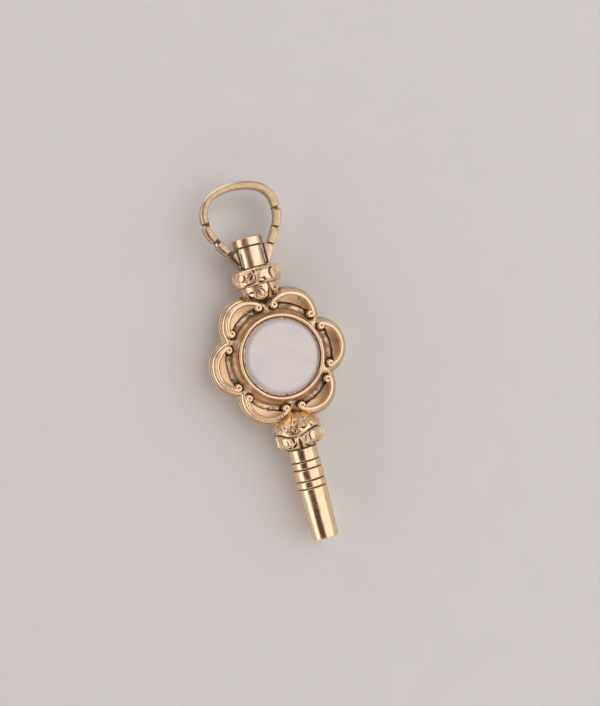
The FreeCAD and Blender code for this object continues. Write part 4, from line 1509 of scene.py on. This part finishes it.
def steel_finish(colours):
    """Dark steel with bloom and rust."""
    finish = Finish("dark_steel")
    bloom = finish.between(finish.noise(0.5, detail=6), 0.45, 0.68)
    brushed = finish.noise(0.06, detail=3, stretch=(1, 0.15, 1))
    finish.set(Base_Color=finish.blend(bloom, colours.steel, colours.rust))
    finish.set(Metallic=finish.maths("SUBTRACT", 1.0, finish.maths("MULTIPLY", bloom, 0.8)))
    finish.set(Roughness=finish.between(bloom, 0.0, 1.0, 0.34, 0.82))
    finish.set(Normal=finish.bump(brushed, 0.006, 0.6))
    return finish.material


def floor_finish(colour_of_floor):
    """Pale matt floor with a very faint tooth."""
    finish = Finish("pale_floor")
    tooth = finish.noise(6.0, detail=5)
    paler = tuple(min(1.0, c * 1.02) for c in colour_of_floor)
    finish.set(Base_Color=finish.blend(finish.between(tooth, 0.3, 0.7), tuple(colour_of_floor), paler))
    finish.set(Roughness=finish.between(tooth, 0.3, 0.7, 0.7, 0.78))
    return finish.material


def colours_of(context):
    """The colours of the finish settings as plain values."""
    group = context.scene.key_finish
    names = [name for name, prop in group.bl_rna.properties.items() if prop.type == "FLOAT" and prop.is_array]
    return SimpleNamespace(**{name: tuple(getattr(group, name)) for name in names})


# The golds of the key: colour under the film, roughness where polished, share of dirt, and whatever
# else sets one apart
GOLDS = {
    "chased_gold": ("gold", 0.16, 1.0, {}),
    "polished_gold": ("gold", 0.12, 0.7, {}),
    "handled_gold": ("worn_gold", 0.2, 1.0, {
        "tint": "bow_film", "film_share": 1.0, "film_spread": (0.5, 0.0, 0.6), "scratches": (0.4, 1, 1)}),
    "swivel_pale_gold": ("pale_gold", 0.24, 0.6, {"scratches": (1, 0.12, 1)}),
    "drawn_gold": ("gold", 0.17, 1.2, {"film_share": 0.35, "scratches": (0.25, 1, 0.25)}),
}


def made_once(name, make):
    """The material of that name, made the first time that a piece asks for it."""
    found = bpy.data.materials.get(name)
    return found if found is not None else make()


def gold_of(name, context):
    """One of the key's golds."""
    base, polish, dirt, others = GOLDS[name]
    return made_once(name, lambda: gold_finish(name, colours_of(context), base, polish, dirt, **others))


def recolour(node, material):
    """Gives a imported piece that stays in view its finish."""
    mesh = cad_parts[node].data
    mesh.materials.clear()
    mesh.materials.append(material)


# Operators

class KEY_OT_shells(Operator):
    """Build the two struck shells of the head"""

    bl_idname = "watch_key.shells"
    bl_label = "Struck shells"

    def execute(self, context):
        sizes = in_millimetres(context.scene.key_head)
        colours = colours_of(context)
        material = gold_of("chased_gold", context)
        struck_shell("front_shell_struck", "front_shell", FRONT, sizes, material)
        struck_shell("back_shell_struck", "back_shell", BACK, sizes, material)
        recolour("head_core", earth_finish("head_filling", colours.filling, colours.filling_grain, 0.5, 0.05))
        return {"FINISHED"}


class KEY_OT_bezels(Operator):
    """Build the rubbed-over bezels"""

    bl_idname = "watch_key.bezels"
    bl_label = "Bezels"

    def execute(self, context):
        sizes = in_millimetres(context.scene.key_head)
        material = gold_of("polished_gold", context)
        bezel("front_bezel_rubbed", "front_bezel", FRONT, sizes, material)
        bezel("back_bezel_rubbed", "back_bezel", BACK, sizes, material)
        return {"FINISHED"}


class KEY_OT_stones(Operator):
    """Build the two stones and the old cement that they sit in"""

    bl_idname = "watch_key.stones"
    bl_label = "Stones"

    def execute(self, context):
        sizes = in_millimetres(context.scene.key_head)
        colours = colours_of(context)
        milky, dark = chalcedony_finish(colours), bloodstone_finish(colours)
        stone("front_stone_bevelled", "front_stone", FRONT, "chalcedony", sizes, milky)
        stone("back_stone_bevelled", "back_stone", BACK, "bloodstone", sizes, dark)
        cement = earth_finish("dark_cement", colours.cement, colours.cement_grain, 0.12, 0.03)
        setting_line("front_setting_line", FRONT, sizes, cement)
        setting_line("back_setting_line", BACK, sizes, cement)
        recolour("front_stone_bed", cement)
        recolour("back_stone_bed", cement)
        return {"FINISHED"}


class KEY_OT_stem(Operator):
    """Build the chased cups and collars above and below the head"""

    bl_idname = "watch_key.stem"
    bl_label = "Cups and collars"

    def execute(self, context):
        sizes = in_millimetres(context.scene.key_stem)
        material = gold_of("chased_gold", context)
        upper_stem(sizes, material)
        lower_stem(sizes, material)
        return {"FINISHED"}


class KEY_OT_pipe(Operator):
    """Build the pipe with its engraved rings and the steel inside it"""

    bl_idname = "watch_key.pipe"
    bl_label = "Pipe and steel"

    def execute(self, context):
        sizes = in_millimetres(context.scene.key_stem)
        pipe(sizes, gold_of("drawn_gold", context))
        steel_socket(sizes, steel_finish(colours_of(context)))
        return {"FINISHED"}


class KEY_OT_bow(Operator):
    """Build the bow with its nicks, its sleeve, cap and solder"""

    bl_idname = "watch_key.bow"
    bl_label = "Bow and swivel"

    def execute(self, context):
        sizes = in_millimetres(context.scene.key_bow)
        bow_ribbon(sizes, gold_of("handled_gold", context))
        pale = gold_of("swivel_pale_gold", context)
        swivel_sleeve(sizes, pale)
        cap(sizes, pale)
        lug_solder(sizes, solder_finish(colours_of(context)))
        recolour("swivel_pin", pale)
        return {"FINISHED"}


def aimed(thing, place, target, up):
    """Puts a camera or lamp at a place so that it looks at the target."""
    back = (place - target).normalized()
    right = up.cross(back).normalized()
    over = back.cross(right)
    rotation = Matrix((right, over, back)).transposed().to_4x4()
    thing.matrix_world = Matrix.Translation(place) @ rotation


def soft_lamp(name, place, target, width, height, watts):
    """Flat rectangular lamp that faces the target."""
    lamp = bpy.data.lights.new(name, "AREA")
    lamp.shape = "RECTANGLE"
    lamp.size, lamp.size_y = width, height
    lamp.energy = watts
    thing = bpy.data.objects.new(name, lamp)
    bpy.context.scene.collection.objects.link(thing)
    away = place - target
    is_endwise = abs(away.y) > abs(away.x) and abs(away.y) > 0.2
    aimed(thing, place, target, Vector((0, 0, 1)) if is_endwise else Vector((0, 1, 0)))
    return thing


def lamp_power(brightness, width, height):
    """Watts of a flat lamp whose face shines as bright as a white of that strength."""
    return brightness * math.pi * width * height


FLOOR_HALF_WIDTH = 1.5
# Panels of light, in metres: name, place, width, height and brightness
PANELS = (
    ("left_panel", Vector((-0.47, 0.0, 0.15)), 0.27, 0.80, 1.35),
    ("right_panel", Vector((0.27, 0.02, 0.42)), 0.72, 0.70, 1.25),
    ("foot_panel", Vector((-0.05, -0.42, 0.28)), 0.50, 0.22, 1.1),
    ("head_panel", Vector((-0.10, 0.45, 0.14)), 0.40, 0.24, 1.3),
)
# Light from the sides and from overhead, and the heights between which they blend
SIDE_LIGHT = (0.62, 0.61, 0.60, 1)
OVERHEAD_LIGHT = (0.10, 0.045, 0.028, 1)
LIGHT_BLEND = (0.05, 0.75)
# The picture's size, and the pixel at which the stone's middle shows
PICTURE_SIZE = (600, 706)
STONE_PIXEL = (281.0, 356.5)
SENSOR_WIDTH = 36.0


class KEY_OT_stage(Operator):
    """Set the pale floor, the soft lamps and the camera"""

    bl_idname = "watch_key.stage"
    bl_label = "Stage"

    def execute(self, context):
        stage = context.scene.key_stage
        self.floor(stage)
        self.lamps()
        self.surroundings(context.scene)
        self.camera(context.scene, stage)
        return {"FINISHED"}

    def floor(self, stage):
        half = FLOOR_HALF_WIDTH
        mesh = bpy.data.meshes.new("floor")
        corners = [(-half, -half, 0), (half, -half, 0), (half, half, 0), (-half, half, 0)]
        mesh.from_pydata(corners, [], [(0, 1, 2, 3)])
        mesh.materials.append(floor_finish(stage.floor))
        floor = bpy.data.objects.new("floor", mesh)
        bpy.context.scene.collection.objects.link(floor)

    def lamps(self):
        key = Vector((0, 0, SEAM_HEIGHT))
        for name, place, width, height, brightness in PANELS:
            lamp = soft_lamp(name, place, key, width, height, lamp_power(brightness, width, height))
            lamp.visible_camera = False

    def surroundings(self, scene):
        world = scene.world or bpy.data.worlds.new("studio")
        scene.world = world
        world.use_nodes = True
        tree = world.node_tree
        background = tree.nodes["Background"]
        direction = tree.nodes.new("ShaderNodeTexCoord").outputs["Generated"]
        split = tree.nodes.new("ShaderNodeSeparateXYZ")
        tree.links.new(direction, split.inputs["Vector"])
        height = tree.nodes.new("ShaderNodeMapRange")
        height.interpolation_type = "SMOOTHSTEP"
        height.inputs["From Min"].default_value, height.inputs["From Max"].default_value = LIGHT_BLEND
        tree.links.new(split.outputs["Z"], height.inputs["Value"])
        shade = tree.nodes.new("ShaderNodeMix")
        shade.data_type = "RGBA"
        shade.inputs[6].default_value = SIDE_LIGHT
        shade.inputs[7].default_value = OVERHEAD_LIGHT
        tree.links.new(height.outputs["Result"], shade.inputs["Factor"])
        tree.links.new(shade.outputs[2], background.inputs["Color"])

    def camera(self, scene, stage):
        stone_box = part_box("front_stone")
        stone_centre = (stone_box[0] + stone_box[1]) / 2
        turn_left, tip = stage.camera_turn, stage.camera_tip
        away = Vector((-math.sin(turn_left), -math.sin(tip), math.cos(turn_left) * math.cos(tip)))
        away.normalize()
        key_up = Vector((0, 1, 0))
        flat_up = (key_up - away * key_up.dot(away)).normalized()
        flat_right = flat_up.cross(away)
        lean = stage.key_lean
        view_up = flat_up * math.cos(lean) + flat_right * math.sin(lean)
        view_right = view_up.cross(away)
        per_pixel = stage.field_width / PICTURE_SIZE[0]
        across = (PICTURE_SIZE[0] / 2 - STONE_PIXEL[0]) * per_pixel
        down = (PICTURE_SIZE[1] / 2 - STONE_PIXEL[1]) * per_pixel
        target = stone_centre + view_right * across - view_up * down
        data = bpy.data.cameras.new("camera")
        data.sensor_fit = "HORIZONTAL"
        data.sensor_width = SENSOR_WIDTH
        data.lens = data.sensor_width * stage.camera_distance / stage.field_width
        data.clip_start = 0.005
        data.clip_end = 20.0
        thing = bpy.data.objects.new("camera", data)
        scene.collection.objects.link(thing)
        aimed(thing, target + away * stage.camera_distance, target, view_up)
        scene.camera = thing
        scene.view_settings.view_transform = "Standard"


STEPS = (KEY_OT_shells, KEY_OT_bezels, KEY_OT_stones, KEY_OT_stem, KEY_OT_pipe, KEY_OT_bow, KEY_OT_stage)


class KEY_PT_sidebar(Panel):
    """Lists the steps that build the key"""

    bl_idname = "KEY_PT_sidebar"
    bl_label = "Watch key"
    bl_space_type = "VIEW_3D"
    bl_region_type = "UI"
    bl_category = "Watch key"

    def draw(self, context):
        for step in STEPS:
            self.layout.operator(step.bl_idname)
        for group_name in GROUPS:
            group = getattr(context.scene, group_name)
            box = self.layout.box()
            for name in group.bl_rna.properties.keys():
                if name not in {"rna_type", "name"}:
                    box.prop(group, name)


GROUPS = {
    "key_head": KEY_PG_head,
    "key_stem": KEY_PG_stem,
    "key_bow": KEY_PG_bow,
    "key_finish": KEY_PG_finish,
    "key_stage": KEY_PG_stage,
}
CLASSES = (*GROUPS.values(), *STEPS, KEY_PT_sidebar)


def register():
    """Adds the settings, operators and sidebar."""
    for item in CLASSES:
        bpy.utils.register_class(item)
    for name, group in GROUPS.items():
        setattr(bpy.types.Scene, name, PointerProperty(type=group))


def unregister():
    """Takes them out again."""
    for name in GROUPS:
        delattr(bpy.types.Scene, name)
    for item in reversed(CLASSES):
        bpy.utils.unregister_class(item)


def main():
    """Builds every piece in order."""
    register()
    for step in STEPS:
        group, name = step.bl_idname.split(".")
        getattr(getattr(bpy.ops, group), name)()


if __name__ == "__main__":
    main()
